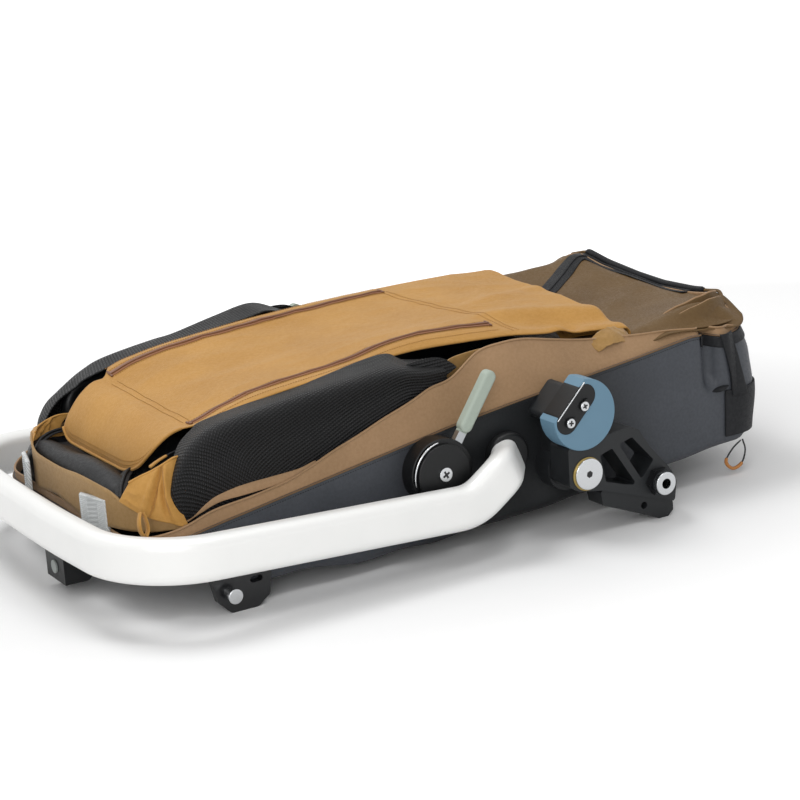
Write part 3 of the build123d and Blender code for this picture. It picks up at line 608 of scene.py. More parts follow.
def tub_points(rows=420):
    """A cup: rings round the plan from the belt down the wall, round the lower edge and in to the middle."""
    s = np.linspace(0, 1, rows, endpoint=False)[:, None]
    place, out = plan(s[:, 0])
    x, y = place[:, :1], place[:, 1:]
    low = rounded(TUB_BOTTOM, x, 10.0)
    low = low - 4 * bump(x, -100, 50) * (y < 0) + 1.5 * ripple(x, y, 150, 5)
    top = belt_height(x, y) + 1
    edge = 13.0
    share = np.linspace(1, 0, 30)[None]
    height = low + edge + (top - low - edge) * share
    upright = wall(np.broadcast_to(s, height.shape), height, share)
    angle = np.linspace(0, np.pi / 2, 6)[1:][None]
    turn_height = low + edge - edge * np.sin(angle)
    turned = wall(np.broadcast_to(s, turn_height.shape), turn_height, np.zeros_like(turn_height))
    turned[..., :2] -= out[:, None] * (edge * (1 - np.cos(angle)))[..., None]
    centre_x = np.clip(x, -250, 350)
    inward = np.linspace(1, 0, 14)[1:][None]
    rim = turned[:, -1:]
    under_x = centre_x + (rim[..., 0] - centre_x) * inward
    under_y = rim[..., 1] * inward
    under_z = rounded(TUB_BOTTOM, under_x, 10.0) + 2 + 2.0 * ripple(under_x, under_y, 160,
            8) * np.sin(np.pi * inward)
    under_z = under_z + (rim[..., 2] - rounded(TUB_BOTTOM, rim[..., 0], 10.0) - 2) * inward ** 3
    under = np.stack([under_x, under_y, under_z], axis=-1)
    return np.concatenate([upright, turned, under], axis=1)


tub = grid("tub_cloth", tub_points(), tub_dark, loop=True)
thicken(tub, COATED_THICK)
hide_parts("tub")


def skirt(s, share):
    """A point on the brown skirt: from just under the belt, leaning in as it rises to its free edge."""
    place, out = plan(s)
    x, y = place[..., 0], place[..., 1]
    low = belt_height(x, y) - 7
    top = np.maximum(skirt_height(x, y), low + 8)
    height = low + (top - low) * share
    base = wall(s, np.maximum(height, 0), 1 + 0 * share)
    lean = rounded(SKIRT_LEAN, x) * share ** 1.3 * (1 - ease((x - 430) / 30))
    slack = np.minimum(1, (top - low) / 60) * np.sin(np.pi * np.clip(share, 0, 1)) ** 0.7
    fold = 2.6 * crease(x * 0.6 + height * 1.3, height - x * 0.35, 150, 21) * slack
    push = -0.9 - lean + fold + 1.2 * ripple(x, height, 110, 4) * share
    base[..., :2] += out * push[..., None]
    return base


def skirt_points(rows=460, columns=26):
    """The skirt's grid, from its free edge down."""
    s, share = np.meshgrid(np.linspace(0, 1, rows, endpoint=False), np.linspace(1, 0, columns), indexing="ij")
    return skirt(s, share)


skirt_piece = grid("skirt_cloth", skirt_points(), brown, loop=True)
thicken(skirt_piece, CLOTH_THICK)
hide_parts("tub_skirt")
round_tub = np.linspace(0, 1, 700)
tube("skirt_hem", skirt(round_tub, np.ones(700)), 1.5, brown, sides=8)
belt_place = plan(round_tub)[0]
belt_line = wall(round_tub, belt_height(belt_place[:, 0], belt_place[:, 1]), np.ones(700))
belt_out = np.concatenate([plan(round_tub)[1], np.zeros((700, 1))], axis=1)
tube("belt_piping", belt_line + belt_out * 0.3, 1.1, brown_thread, sides=8)
stitches("belt_stitching", belt_line - [0, 0, 4.5] + belt_out * 0.4, belt_out, black_thread)


def wall_patch(name, first, last, height, lift, material, slot, rows=60):
    """A patch lying on the wall between shares first and last of the way round, at each of its heights."""
    height = np.asarray(height, float)
    share = np.linspace(0, 1, rows)[:, None]
    s = np.asarray(first, float) + (np.asarray(last, float) - first) * share
    high = np.broadcast_to(height, s.shape)
    base = wall(s, high, np.ones(s.shape))
    base[..., :2] += plan(s)[1] * lift
    return grid(name, base, material, slot=slot, flip=True)


for side, label in ((1, "left"), (-1, "right")):
    level = np.linspace(0, 1, 30)[None]
    patch = wall_patch(f"rear_corner_panel_{label}", side * 0.105 + 0 * level, side * 0.030 + 0 * level,
                       59 + 62 * level, 1.3,
                       webbing_dark, "tub_fabric")
    thicken(patch, 1.6)
    middle = 0.1030 - 0.0065 * (1 - level)
    patch = wall_patch(f"rear_corner_strap_{label}", side * (middle + 0.0042), side * (middle - 0.0042),
                       112 + 84 * level, 2.2,
                       webbing_dark, "tub_fabric", rows=14)
    thicken(patch, COATED_THICK)
    place = plan(np.linspace(0.118, 0.052, 60) * side)[0]
    height = belt_height(place[:, 0], place[:, 1])[:, None] - 15 + 14 * np.linspace(0, 1, 8)[None]
    s = np.linspace(0.118, 0.052, 60)[:, None] * side + 0 * height
    collar = wall(s, height, np.ones(s.shape))
    collar[..., :2] += plan(s)[1] * 1.0
    thicken(grid(f"rear_collar_{label}", collar, webbing_dark, flip=side > 0), CLOTH_THICK)
    seam_s = np.linspace(0.1639, 0.1111, 90)
    seam_h = along([(0.1111, 126), (0.1345, 115), (0.1567, 105), (0.1639, 102)], seam_s)
    seam = wall(side * seam_s, seam_h, np.ones(90))
    tube(f"side_seam_{label}", seam + np.concatenate([plan(side * seam_s)[1] * 0.2, np.zeros((90, 1))],
            axis=1), 0.9, black_thread,
         slot="tub_fabric", sides=8)
    pocket = wall(side * np.linspace(0.1116, 0.1035, 40), 122 + 5 * np.linspace(0, 1, 40), np.ones(40))
    tube(f"corner_pocket_{label}", pocket, 1.5 + 6 * np.sin(np.linspace(0.1, 3.0, 40)), webbing_dark, sides=14,
         flat=0.5)

# --- rear panel -----------------------------------------------------------------------------------
PANEL_FRONT = 215.0
PANEL_NEAR = [(150, 206), (300, 209), (345, 216), (395, 227), (425, 229), (452, 224), (486, 221)]
PANEL_RIDGE = [(150, 224), (355, 226), (435, 231), (462, 239), (486, 236)]
PANEL_SAG = [(150, 6), (340, 17), (412, 15), (470, 5), (486, 1)]
NEAR_RIDGE_Y = -178.0
FAR_RIDGE_Y = 150.0


def panel_height(x, y):
    """Slung from ridge to ridge near the two sides, and falling beyond them to the walls' edges.

    A sag across and slack folds that run to the corners are taken from it.
    """
    t = np.clip((y - NEAR_RIDGE_Y) / (FAR_RIDGE_Y - NEAR_RIDGE_Y), 0, 1)
    near, far = rounded(PANEL_NEAR, x), rounded(PANEL_RIDGE, x)
    rear = ease((x - 446) / 34)
    flat = near + (far - near) * ease(t) * 0.4 + (far - near) * t * 0.6
    edge = skirt_height(x, y) - 1 - 14 * (1 - ease((x - 300) / 50))
    flat = flat + (edge - flat) * ease((NEAR_RIDGE_Y - 4 - y) / 30) + (edge - flat) * ease((y - FAR_RIDGE_Y
            - 4) / 58)
    flat = flat + (rear_lip(y) - 2 - flat) * rear
    sag = rounded(PANEL_SAG, x) * 4 * t * (1 - t) * (1 - rear)
    fold = 4.5 * crease(x * 0.9 + y * 0.55, y - x * 0.3, 260,
                        33) * np.sin(np.pi * np.clip(t, 0.02, 0.98)) * (1 - rear)
    return flat - sag + fold + 0.8 * ripple(x, y, 70, 9)


def panel(x, y):
    """A point on the brown panel."""
    x, y = np.broadcast_arrays(np.asarray(x, float), np.asarray(y, float))
    return np.stack([x, y, panel_height(x, y)], axis=-1)


def panel_points():
    """The panel's grid, drawn in at its rear corners to follow the plan."""
    x, t = np.meshgrid(np.linspace(PANEL_FRONT, 484, 90), np.linspace(-1, 1, 110), indexing="ij")
    corner = TUB_REAR - REAR_RADIUS
    half = TUB_HALF - REAR_RADIUS - 6 + np.sqrt(np.maximum(REAR_RADIUS ** 2 - np.maximum(x - corner, 0) ** 2,
            0))
    half = half - 16 * (1 - ease((x - 290) / 50))
    return panel(x, t * half)


# The rear panel's darker brown is painted shade.
rear_panel = grid("rear_panel_cloth", panel_points(), brown_painted_shade)
thicken(rear_panel, CLOTH_THICK)
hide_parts("rear_panel")


def panel_strip(name, places, width, thickness, material, lift, slot):
    """A strip lying on the panel along places (x, y)."""
    flat = smooth_path(places, 90)
    line, normal = surface_line(panel, flat[:, 0], flat[:, 1], lift)
    return ribbon(name, line, normal, width, thickness, material, slot=slot)


ZIP_ROUTE = [
    (340, 60), (358, 72), (385, 90), (416, 113), (446, 134), (466, 138), (475, 118), (474, 62), (471, 5),
    (473, -31), (474, -67), (472, -100),
]
panel_strip("rear_zip_tape", ZIP_ROUTE, 27, 1.6, zip_black, 1.2, "black_mesh")
panel_strip("rear_zip_teeth", ZIP_ROUTE, 5.0, 2.4, zip_black, 2.2, "black_plastic")
rear_y = np.linspace(-172, 172, 120)
lip_line = np.stack([484 - 14 * ease((np.abs(rear_y) - 140) / 40), rear_y, rear_lip(rear_y) + 1.0], axis=1)
# The lip's darker brown is painted shade.
tube("rear_lip", lip_line, 2.4, brown_painted_shade, sides=10)
black_lip = (rear_y > -112) & (rear_y < 146)
tube("rear_lip_zip_edge", lip_line[black_lip] + [-1.5, 0, 0.2], 5.0, zip_black, sides=10)
PLEAT_LINES = [
    [(336, -160, 203), (361, -170, 214), (384, -170, 223), (410, -170, 229), (431, -170, 233),
     (452, -166, 235), (468, -158, 232)],
    [(340, -172, 194), (364, -178, 198), (388, -180, 203), (412, -180, 209), (434, -178, 215),
     (450, -173, 221), (464, -166, 226)],
    [(343, -184, 205), (366, -186, 213), (388, -188, 221), (410, -189, 227), (432, -187, 231),
     (448, -182, 231), (464, -174, 229)],
    [(346, -196, 203), (368, -199, 207), (390, -201, 209), (410, -201, 210), (432, -198, 210),
     (452, -190, 210), (470, -178, 212)],
    [(348, -208, 205), (370, -212, 206), (392, -213, 206), (412, -213, 204), (434, -212, 203),
     (456, -205, 203), (476, -190, 205)],
]


pleat = across_lines(PLEAT_LINES, 90, 60)
pleat[..., 2] += 1.0 * crease(pleat[..., 0], pleat[..., 1] * 2, 60, 81)
# The pleat's darker brown is painted shade; its hem and ridge keep the plain brown.
pleat_piece = grid("rear_pleat", pleat, brown_painted_shade)
thicken(pleat_piece, CLOTH_THICK)
tube("rear_pleat_hem", pleat[:, 0], 1.6, brown, sides=8)
tube("rear_pleat_ridge", pleat[:, 30] + [0, 0, 0.2], 1.3, brown, sides=8)

# --- golden cover ---------------------------------------------------------------------------------
ZIP_Y = 121.0
SEAM_X = -281.0
COVER_REAR = 300.0
NEAR_EDGE = [
    (-281, 200), (-222, 219), (-149, 228), (-62, 237), (0, 241), (40, 240), (110, 237), (170, 234),
    (230, 229), (310, 222),
]
NEAR_ZIP = [
    (-281, 192), (-251, 202), (-188, 222), (-120, 230), (-62, 236), (-8, 246), (40, 250), (88, 247),
    (132, 243), (200, 241), (310, 232),
]
MIDDLE = [(-281, 196), (-213, 212), (-136, 221), (-40, 231), (40, 237), (139, 239), (210, 243), (310, 240)]
FAR_ZIP = [
    (-281, 200), (-263, 211), (-213, 224), (-142, 231), (-70, 238), (4, 243), (125, 247), (210, 250),
    (310, 246),
]
FAR_EDGE = [
    (-281, 203), (-266, 216), (-193, 229), (-109, 237), (-55, 242), (20, 245), (159, 248), (240, 246),
    (310, 243),
]
NEAR_REACH = [(-281, -152), (150, -156), (183, -169), (240, -180), (310, -190)]
FAR_REACH = [(-281, 150), (240, 152), (310, 138)]
FLAP_CURVE = [(-281, 198), (-296, 195), (-312, 184), (-327, 167), (-337, 151), (-340, 139)]
FLAP_NEAR = -138.0
FLAP_FAR = 122.0
FLAP_REACH = [
    (-138, 0.06), (-134, 0.28), (-128, 0.5), (-118, 0.68), (-106, 0.83), (-85, 0.94), (-60, 0.99),
    (40, 1.0), (100, 1.0), (113, 0.96), (122, 0.84),
]


def cover_height(x, y):
    """Five lengthwise lines joined across by a rounded one, with slack and diagonal pulls at the rear."""
    lines = [rounded(part, x, 22.0) for part in (NEAR_EDGE, NEAR_ZIP, MIDDLE, FAR_ZIP, FAR_EDGE)]
    near, far = rounded(NEAR_REACH, x), rounded(FAR_REACH, x)
    stops = [near, -ZIP_Y + 0 * x, 0 * x, ZIP_Y + 0 * x, far]
    total = 0 * x
    for shift in (-14, -7, 0, 7, 14):
        at = y + shift
        part = lines[0] + 0 * at
        for k in range(4):
            t = np.clip((at - stops[k]) / (stops[k + 1] - stops[k]), 0, 1)
            part = part + (lines[k + 1] - lines[k]) * t
        total = total + part / 5
    inside = np.clip(np.minimum(y - near, far - y) / 18, 0, 1)
    slack = 2.0 * ripple(x * 0.5, y, 200, 41) + 1.6 * crease(x * 0.45 + y, y * 0.6 - x * 0.1, 130, 17)
    slack = slack + 0.8 * crease(x * 0.8 - y * 0.5, y + x * 0.3, 75, 19)
    rear = ease((x - 130) / 60)
    pull = 5.5 * bump(y + 88 + (x - 150) * 0.24, 0, 16) - 5.0 * bump(y + 120 + (x - 150) * 0.2, 0, 20)
    pull = pull + 3.0 * bump(y + 30 - (x - 150) * 0.25, 0, 14)
    dimple = -7 * bump(x, 236, 13) * bump(y, -160, 14) + 4 * bump(x, 214, 12) * bump(y, -168, 12)
    return total + slack * inside + rear * (pull + dimple) - 4.0 * (1 - inside) ** 2


def cover(x, y):
    """A point on the golden cover's top."""
    x, y = np.broadcast_arrays(np.asarray(x, float), np.asarray(y, float))
    return np.stack([x, y, cover_height(x, y)], axis=-1)


def flap(t, y):
    """A point on the front flap: down the flap's curve by a share t of its reach there."""
    t, y = np.broadcast_arrays(np.asarray(t, float), np.asarray(y, float))
    curve = smooth_path(FLAP_CURVE, 60)
    share = t * rounded(FLAP_REACH, y, 6.0)
    steps = np.linspace(0, 1, 60)
    x = np.interp(share, steps, curve[:, 0])
    z = np.interp(share, steps, curve[:, 1])
    start = cover_height(np.full_like(y, SEAM_X), y)
    lift = (start - FLAP_CURVE[0][1]) * (1 - ease(share * 1.6))
    crown = 5.0 * np.sin(np.pi * np.clip(share, 0, 1)) + 1.2 * ripple(y, share * 90, 120, 23) * ease(share * 3)
    return np.stack([x - crown * 0.75, y, z + lift + crown * 0.6], axis=-1)


def cover_points():
    """One sheet: the flap up to the cross seam, the top, the rolled rear end and its return beneath."""
    columns = np.linspace(0, 1, 96)
    flap_y = FLAP_NEAR + (FLAP_FAR - FLAP_NEAR) * columns
    flap_share = np.linspace(1, 0, 30)[:, None]
    front = flap(flap_share, flap_y[None])
    x = np.linspace(SEAM_X, COVER_REAR, 190)[1:]
    near, far = rounded(NEAR_REACH, x), rounded(FAR_REACH, x)
    open_out = ease((x - SEAM_X) / 26)
    low = FLAP_NEAR + (near - FLAP_NEAR) * open_out
    high = FLAP_FAR + (far - FLAP_FAR) * open_out
    y = low[:, None] + (high - low)[:, None] * columns
    top = cover(np.broadcast_to(x[:, None], y.shape), y)
    end = top[-1]
    angle = np.linspace(0, np.pi, 14)[1:, None]
    radius = 7.5 + 2.5 * ease((-end[:, 1] - 60) / 110) + 0.8 * ripple(end[:, 1], 0 * end[:, 1], 80, 2)
    roll_x = end[:, 0] + radius * np.sin(angle)
    roll_z = end[:, 2] - radius * (1 - np.cos(angle))
    roll = np.stack([roll_x, np.broadcast_to(end[:, 1], roll_x.shape), roll_z], axis=2)
    back = np.linspace(0, 1, 16)[1:, None]
    back_x = roll[-1][:, 0] - 62 * back
    back_z = roll[-1][:, 2] - 4 * back - 3 * np.sin(np.pi * back)
    under = np.stack([back_x, np.broadcast_to(end[:, 1], back_x.shape), back_z], axis=2)
    return np.concatenate([front, top, roll, under])


cover_piece = grid("cover_cloth", cover_points(), golden, body=None)
thicken(cover_piece, 1.5)
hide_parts("cover_front", "cover_rear")
inner = across_lines([[(238, -196, 214), (256, -194, 222), (274, -190, 224), (292, -188, 220),
                       (304, -186, 212)],
                      [(240, -203, 208), (258, -203, 215), (276, -201, 217), (292, -198, 212),
                       (302, -195, 206)],
                      [(244, -209, 202), (260, -210, 207), (276, -208, 208), (290, -205, 204),
                       (298, -201, 200)]], 60, 24)
inner[..., 2] += 1.6 * crease(inner[..., 0] * 1.2, inner[..., 1] * 2, 34, 83)
inner_piece = grid("cover_inner_fold", inner, golden_inside)
thicken(inner_piece, CLOTH_THICK)
stitches("cover_inner_thread", inner[:, 8] + [0, 0, 0.6], [0, -0.3, 1], golden_thread)


def side_fold(obj):
    """Bakes the side mesh's placement into its points."""
    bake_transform(obj)
    return obj


def cross_fold(obj):
    """Bakes the piece's placement into its points."""
    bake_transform(obj)
    return obj


cross_fold(cover_piece)


def cover_seam(name, places, lift=0.5, count=160):
    """A line of thread along places (x, y) of the cover."""
    flat = smooth_path(places, count)
    line, normal = surface_line(cover, flat[:, 0], flat[:, 1], lift)
    return cross_fold(stitches(name, line, normal, golden_thread, body=None))


for side, label, first, last in ((-1, "near", -276, 140), (1, "far", -270, 126)):
    for shift in (-9, 9, 22):
        cover_seam(f"cover_thread_{label}_{shift + 9}",
                   [(x, side * (ZIP_Y + shift)) for x in np.linspace(first + 4, last, 8)])
    path_x = np.linspace(first, last, 200)
    line, normal = surface_line(cover, path_x, side * ZIP_Y + 0 * path_x, 0.6)
    cross_fold(ribbon(f"zip_tape_{label}", line, normal, 13, 1.0, zip_brown, body=None))
    line, normal = surface_line(cover, path_x, side * ZIP_Y + 0 * path_x, 1.6)
    cross_fold(tube(f"zip_teeth_{label}", line, 2.4, zip_teeth, body=None, sides=8, flat=0.6))
    for at in (first, last):
        tack_y = np.linspace(side * ZIP_Y - 8, side * ZIP_Y + 8, 12)
        line, normal = surface_line(cover, at + 0 * tack_y, tack_y, 1.4)
        cross_fold(ribbon(f"zip_tack_{label}_{at + 300}", line, normal, 3.0, 1.6, zip_teeth, body=None))
for k, shift in enumerate((0, 8)):
    cover_seam(f"rear_cross_thread_{k}", [(124 + shift, 116), (131 + shift, 60), (139 + shift, 0),
            (146 + shift, -60), (152 + shift, -112), (158 + shift, -150)])
    cover_seam(f"front_cross_thread_{k}", [(SEAM_X + 2 + shift, y) for y in np.linspace(-108, 96, 8)])
    hem_y = np.linspace(FLAP_NEAR + 6 + 4 * k, FLAP_FAR - 5 - 4 * k, 200)
    hem_t = np.full(200, 0.93 - 0.05 * k)
    here = flap(hem_t, hem_y)
    out = unit(np.cross(flap(hem_t, hem_y + 0.5) - here, flap(hem_t + 0.01, hem_y) - here))
    stitches(f"flap_thread_{k}", here + out * 0.4, out, golden_thread, body="cage")
edge_y = np.linspace(FLAP_NEAR, FLAP_FAR, 160)
tube("flap_hem", flap(np.ones(160), edge_y), 2.0, golden, body="cage", sides=8)

# --- mesh sides -----------------------------------------------------------------------------------
MESH_TOP = [
    (-336, -196, 114), (-338, -192, 140), (-333, -184, 165), (-316, -172, 190), (-292, -160, 202),
    (-277, -154, 207), (-222, -152, 215), (-149, -152, 223), (-62, -152, 238), (-27, -155, 241),
    (-8, -158, 231), (22, -160, 226),
]
MESH_RIDGE = [
    (-343, -205, 114), (-346, -207, 140), (-342, -209, 158), (-327, -210, 184), (-304, -211, 203),
    (-285, -211, 211), (-249, -211, 218), (-175, -211, 226), (-91, -211, 233), (-45, -210, 234),
    (-15, -207, 228), (24, -202, 222),
]
MESH_WAIST = [
    (-338, -212, 112), (-338, -214, 130), (-330, -215, 146), (-318, -216, 160), (-300, -216, 168),
    (-278, -215, 172), (-240, -214, 178), (-172, -214, 184), (-92, -213, 198), (-45, -212, 206),
    (-12, -209, 208), (27, -203, 210),
]
MESH_LOW = [
    (-330, -211, 108), (-328, -213, 112), (-322, -214, 114), (-312, -214, 114), (-296, -213, 114),
    (-276, -212, 116), (-236, -212, 120), (-170, -213, 128), (-92, -213, 158), (-42, -211, 178),
    (-8, -206, 188), (30, -199, 198),
]
FAR_MESH_TOP = [
    (-336, 190, 114), (-340, 186, 138), (-335, 180, 158), (-322, 172, 176), (-302, 163, 190),
    (-285, 155, 202), (-222, 150, 218), (-149, 150, 228), (-62, 150, 239), (-30, 152, 243),
    (-6, 156, 236), (22, 160, 226),
]
FAR_MESH_RIDGE = [
    (-338, 205, 112), (-341, 206, 136), (-335, 207, 151), (-320, 207, 169), (-297, 207, 185),
    (-273, 207, 198), (-244, 207, 208), (-177, 207, 218), (-144, 206, 222), (-83, 206, 235),
    (-30, 204, 244), (2, 199, 234),
]


def mesh_points(side, rows=150, columns=40):
    """Four lengthwise lines joined across by rounded lines, swelling between them."""
    drawn = [MESH_TOP, MESH_RIDGE, MESH_WAIST, MESH_LOW]
    if side > 0:
        drawn[:2] = [[(x, -y, z) for x, y, z in line] for line in (FAR_MESH_TOP, FAR_MESH_RIDGE)]
    points = across_lines(drawn, rows, columns)
    share = np.linspace(0, 3, columns)[None] / 3
    along_side = np.linspace(0, 1, rows)[:, None]
    swell = (2.5 * bump(share, 0.3, 0.16) - 2.0 * bump(share, 0.6, 0.2)) * np.sin(np.pi * along_side)
    slack = 0.8 * ripple(points[..., 0] + points[..., 2], points[..., 2] * 1.5, 170,
                         51 + side) * np.sin(np.pi * share)
    points[..., 1] -= swell + slack
    points[..., 1] *= -side
    return points


for side, label in ((-1, "left"), (1, "right")):
    piece = grid(f"mesh_cloth_{label}", mesh_points(side), mesh_black, body=None, flip=side < 0)
    thicken(piece, STRAP_THICK)
    side_fold(piece)
    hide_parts(f"mesh_side_{label}")

for side, label in ((-1, "left"), (1, "right")):
    bind = smooth_path([(-334, side * 212, 112), (-316, side * 213, 122), (-291, side * 214, 132),
                        (-256, side * 215, 135),
                        (-220, side * 215, 137), (-186, side * 216, 141), (-164, side * 216, 149)], 120)
    ribbon(f"side_binding_{label}", bind, [0, side, 0.5], 2 + 10 * np.sin(np.linspace(0, np.pi, 120)) ** 0.6,
           2.2, brown)
    tops = smooth_path([(-38, side * 196, 232), (-12, side * 197, 236), (14, side * 196, 236), (30, side * 195,
            231),
                        (44, side * 194, 221)], 40)
    lows = smooth_path([(-24, side * 203, 196), (-4, side * 203, 200), (16, side * 201, 207), (30, side * 199,
            212),
                        (46, side * 196, 218)], 40)
    share = np.linspace(0, 1, 16)[None, :, None]
    fold = grid(f"mesh_fold_{label}", lows[:, None] + (tops - lows)[:, None] * share, mesh_black, body=None,
                flip=side > 0)
    thicken(fold, COATED_THICK)
    side_fold(fold)
    tops = smooth_path([(34, side * 184, 222), (48, side * 183, 227), (66, side * 182, 229), (90, side * 181,
            230),
                        (126, side * 180, 230)], 40)
    lows = tops - [0, 0, 22]
    under = grid(f"cover_underlay_{label}", lows[:, None] + (tops - lows)[:, None] * share, golden_inside,
                 flip=side > 0)
    thicken(under, CLOTH_THICK)

# --- front end ------------------------------------------------------------------------------------
FRONT_CURVE = [
    (-386, 92), (-391, 116), (-389, 134), (-378, 143), (-362, 141), (-345, 134), (-325, 140),
    (-300, 162), (-280, 176),
]


def front_face(t, y):
    """A point on the black front: a curve that rises behind the strap and runs back under the flap."""
    t, y = np.broadcast_arrays(np.asarray(t, float), np.asarray(y, float))
    curve = smooth_path(FRONT_CURVE, 80)
    steps = np.linspace(0, 1, 80)
    x = np.interp(t, steps, curve[:, 0])
    z = np.interp(t, steps, curve[:, 1])
    round_end = 60 * np.clip((np.abs(y) - 105) / 80, 0, 1) ** 2
    fold = 3.0 * crease(y * 0.6 + t * 160, t * 110 - y * 0.2, 160,
                        61) + 9 * bump(t, 0.42, 0.12) * bump(y, -40, 70)
    drop = 26 * ease((np.abs(y) - 100) / 70)
    return np.stack([x + round_end * (1 - t * 0.5), y, z + fold * np.sin(np.pi * np.clip(t, 0, 1)) - drop * t],
                    axis=-1)


t, y = np.meshgrid(np.linspace(0, 1, 50), np.linspace(-194, 194, 110), indexing="ij")
front_piece = grid("front_cloth", front_face(t, y), front_dark, body="base", flip=True)
thicken(front_piece, CLOTH_THICK)
ZIP_ARCS = {"left": [(-386, -158, 139), (-376, -138, 143), (-366, -120, 144), (-354, -100, 145),
                     (-343, -86, 145), (-330, -76, 144)],
            "right": [(-387, 98, 140), (-376, 114, 142), (-366, 126, 143), (-352, 136, 144), (-338, 141, 144),
                      (-326, 141, 143)]}
for label, route in ZIP_ARCS.items():
    arc = smooth_path(route, 90)
    ribbon(f"front_zip_tape_{label}", arc, [0, 0, 1.0], 13, 1.6, zip_black)
    tube(f"front_zip_{label}", arc + [0, 0, 1.6], 2.2 + 0.5 * np.sin(np.arange(90) * 2.1), front_dark,
         slot="black_mesh", sides=8)


NEAR_GUSSET_LOW = [
    (-391, -164, 138), (-381, -184, 129), (-368, -200, 121), (-354, -211, 116), (-341, -218, 111),
    (-331, -219, 107),
]
NEAR_GUSSET_HIGH = [
    (-379, -172, 160), (-369, -179, 166), (-358, -185, 171), (-346, -190, 177), (-334, -193, 183),
    (-327, -193, 184),
]
FAR_GUSSET_LOW = [(-391, 100, 143), (-380, 126, 141), (-364, 142, 137), (-346, 149, 135), (-328, 151, 134)]
FAR_GUSSET_HIGH = [(-378, 118, 156), (-366, 140, 155), (-350, 150, 158), (-334, 152, 161), (-318, 152, 160)]


def gusset_points(low_line, high_line, side, rows=60, columns=36):
    """A sheet between two lines, pushed out along a middle fold and drawn in beside it."""
    low, high = smooth_path(low_line, rows), smooth_path(high_line, rows)
    share = np.linspace(0, 1, columns)[None, :, None]
    points = low[:, None] + (high - low)[:, None] * share
    a = np.linspace(0, 1, rows)[:, None]
    b = np.linspace(0, 1, columns)[None]
    middle = 0.42 + 0.18 * b
    hold = np.sin(np.pi * np.clip(b, 0.03, 1)) ** 0.6
    push = 6 * hold * np.sin(np.pi * np.clip(a * 1.05, 0, 1)) - 5.5 * bump(a, middle + 0.05, 0.035) * hold
    push = push + 3.5 * bump(a, middle - 0.05, 0.05) * hold + 5 * bump(a, 0.86 - 0.1 * b, 0.06) * hold
    push = push - 5 * bump(a, 0.74 - 0.08 * b, 0.05) * hold + 1.2 * crease(a * 90, b * 60 + a * 30, 40,
            71) * hold
    points[..., 0] -= 8 * np.sin(np.pi * b) * ease((a - 0.6) / 0.4)
    return points + push[..., None] * unit(np.array([-0.72, side * 0.66, 0.2]))


for side, label, low_line, high_line, cut in ((-1, "left", NEAR_GUSSET_LOW, NEAR_GUSSET_HIGH, (0.10, 0.05)),
                                              (1, "right", FAR_GUSSET_LOW, FAR_GUSSET_HIGH, (0.09, 0.03))):
    drawn = gusset_points(low_line, high_line, side)
    piece = grid(f"front_gusset_{label}", drawn, golden, body="base", flip=side > 0)
    thicken(piece, 1.3)
    tube(f"front_gusset_hem_{label}", drawn[:, -1], 1.4, golden, sides=8)
    columns = np.arange(36)
    seam = drawn[np.round(59 * (0.47 + 0.18 * columns / 35)).astype(int), columns]
    tube(f"front_gusset_seam_{label}", even(seam, 60) + [-0.4, side * 0.4, 0], 0.7, golden_thread, sides=8)

tab_line = smooth_path([(-387, -213, 136), (-391, -217, 127), (-391, -219, 116), (-387, -221, 110),
                        (-382, -219, 116),
                        (-382, -216, 126), (-384, -213, 135)], 60)
ribbon("corner_loop_tab", tab_line, [0.8, 0.2, 0.1], 8.0, 1.2, golden)
pull_line = smooth_path([(-343, -152, 166), (-334, -151, 170), (-322, -150, 174)], 24)
tube("front_puller", pull_line, 3.2 - 0.8 * np.linspace(0, 1, 24), golden, sides=10, flat=0.6)
pull_cord = smooth_path([(-322, -150, 174), (-312, -151, 177), (-300, -152, 179), (-290, -153, 182)], 30)
tube("front_puller_cord", pull_cord, 1.3, zip_black, sides=8)
STRAP = [
    (-336, -220, 107, 111), (-352, -209, 106, 117), (-366, -197, 104, 122), (-378, -182, 103, 128),
    (-387, -166, 103, 136), (-394, -148, 103, 146), (-399, -128, 102, 150), (-402, -100, 102, 152),
    (-403.5, -70, 103, 152), (-404, -35, 107, 149), (-404, 0, 110, 148), (-402, 50, 104, 147),
    (-398, 75, 98, 147), (-392, 98, 93, 150), (-382, 125, 98, 152), (-368, 152, 106, 150),
    (-350, 178, 112, 146), (-334, 200, 116, 138),
]
strap_route = smooth_path(STRAP, 280)
strap_share = np.linspace(0, 1, 9)[None, :]
strap_height = strap_route[:, 2:3] + (strap_route[:, 3:4] - strap_route[:, 2:3]) * strap_share
strap_plan = np.broadcast_to(strap_route[:, None, :2], (280, 9, 2))
strap_points = np.concatenate([strap_plan, strap_height[..., None]], axis=2)
strap = grid("front_strap_webbing", strap_points, webbing, flip=True)
thicken(strap, STRAP_THICK)
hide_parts("front_strap")

# --- reflectors -----------------------------------------------------------------------------------
LENS_WIDE = 49.0
LENS_HIGH = 46.0
LENS_TURN = np.radians(15)


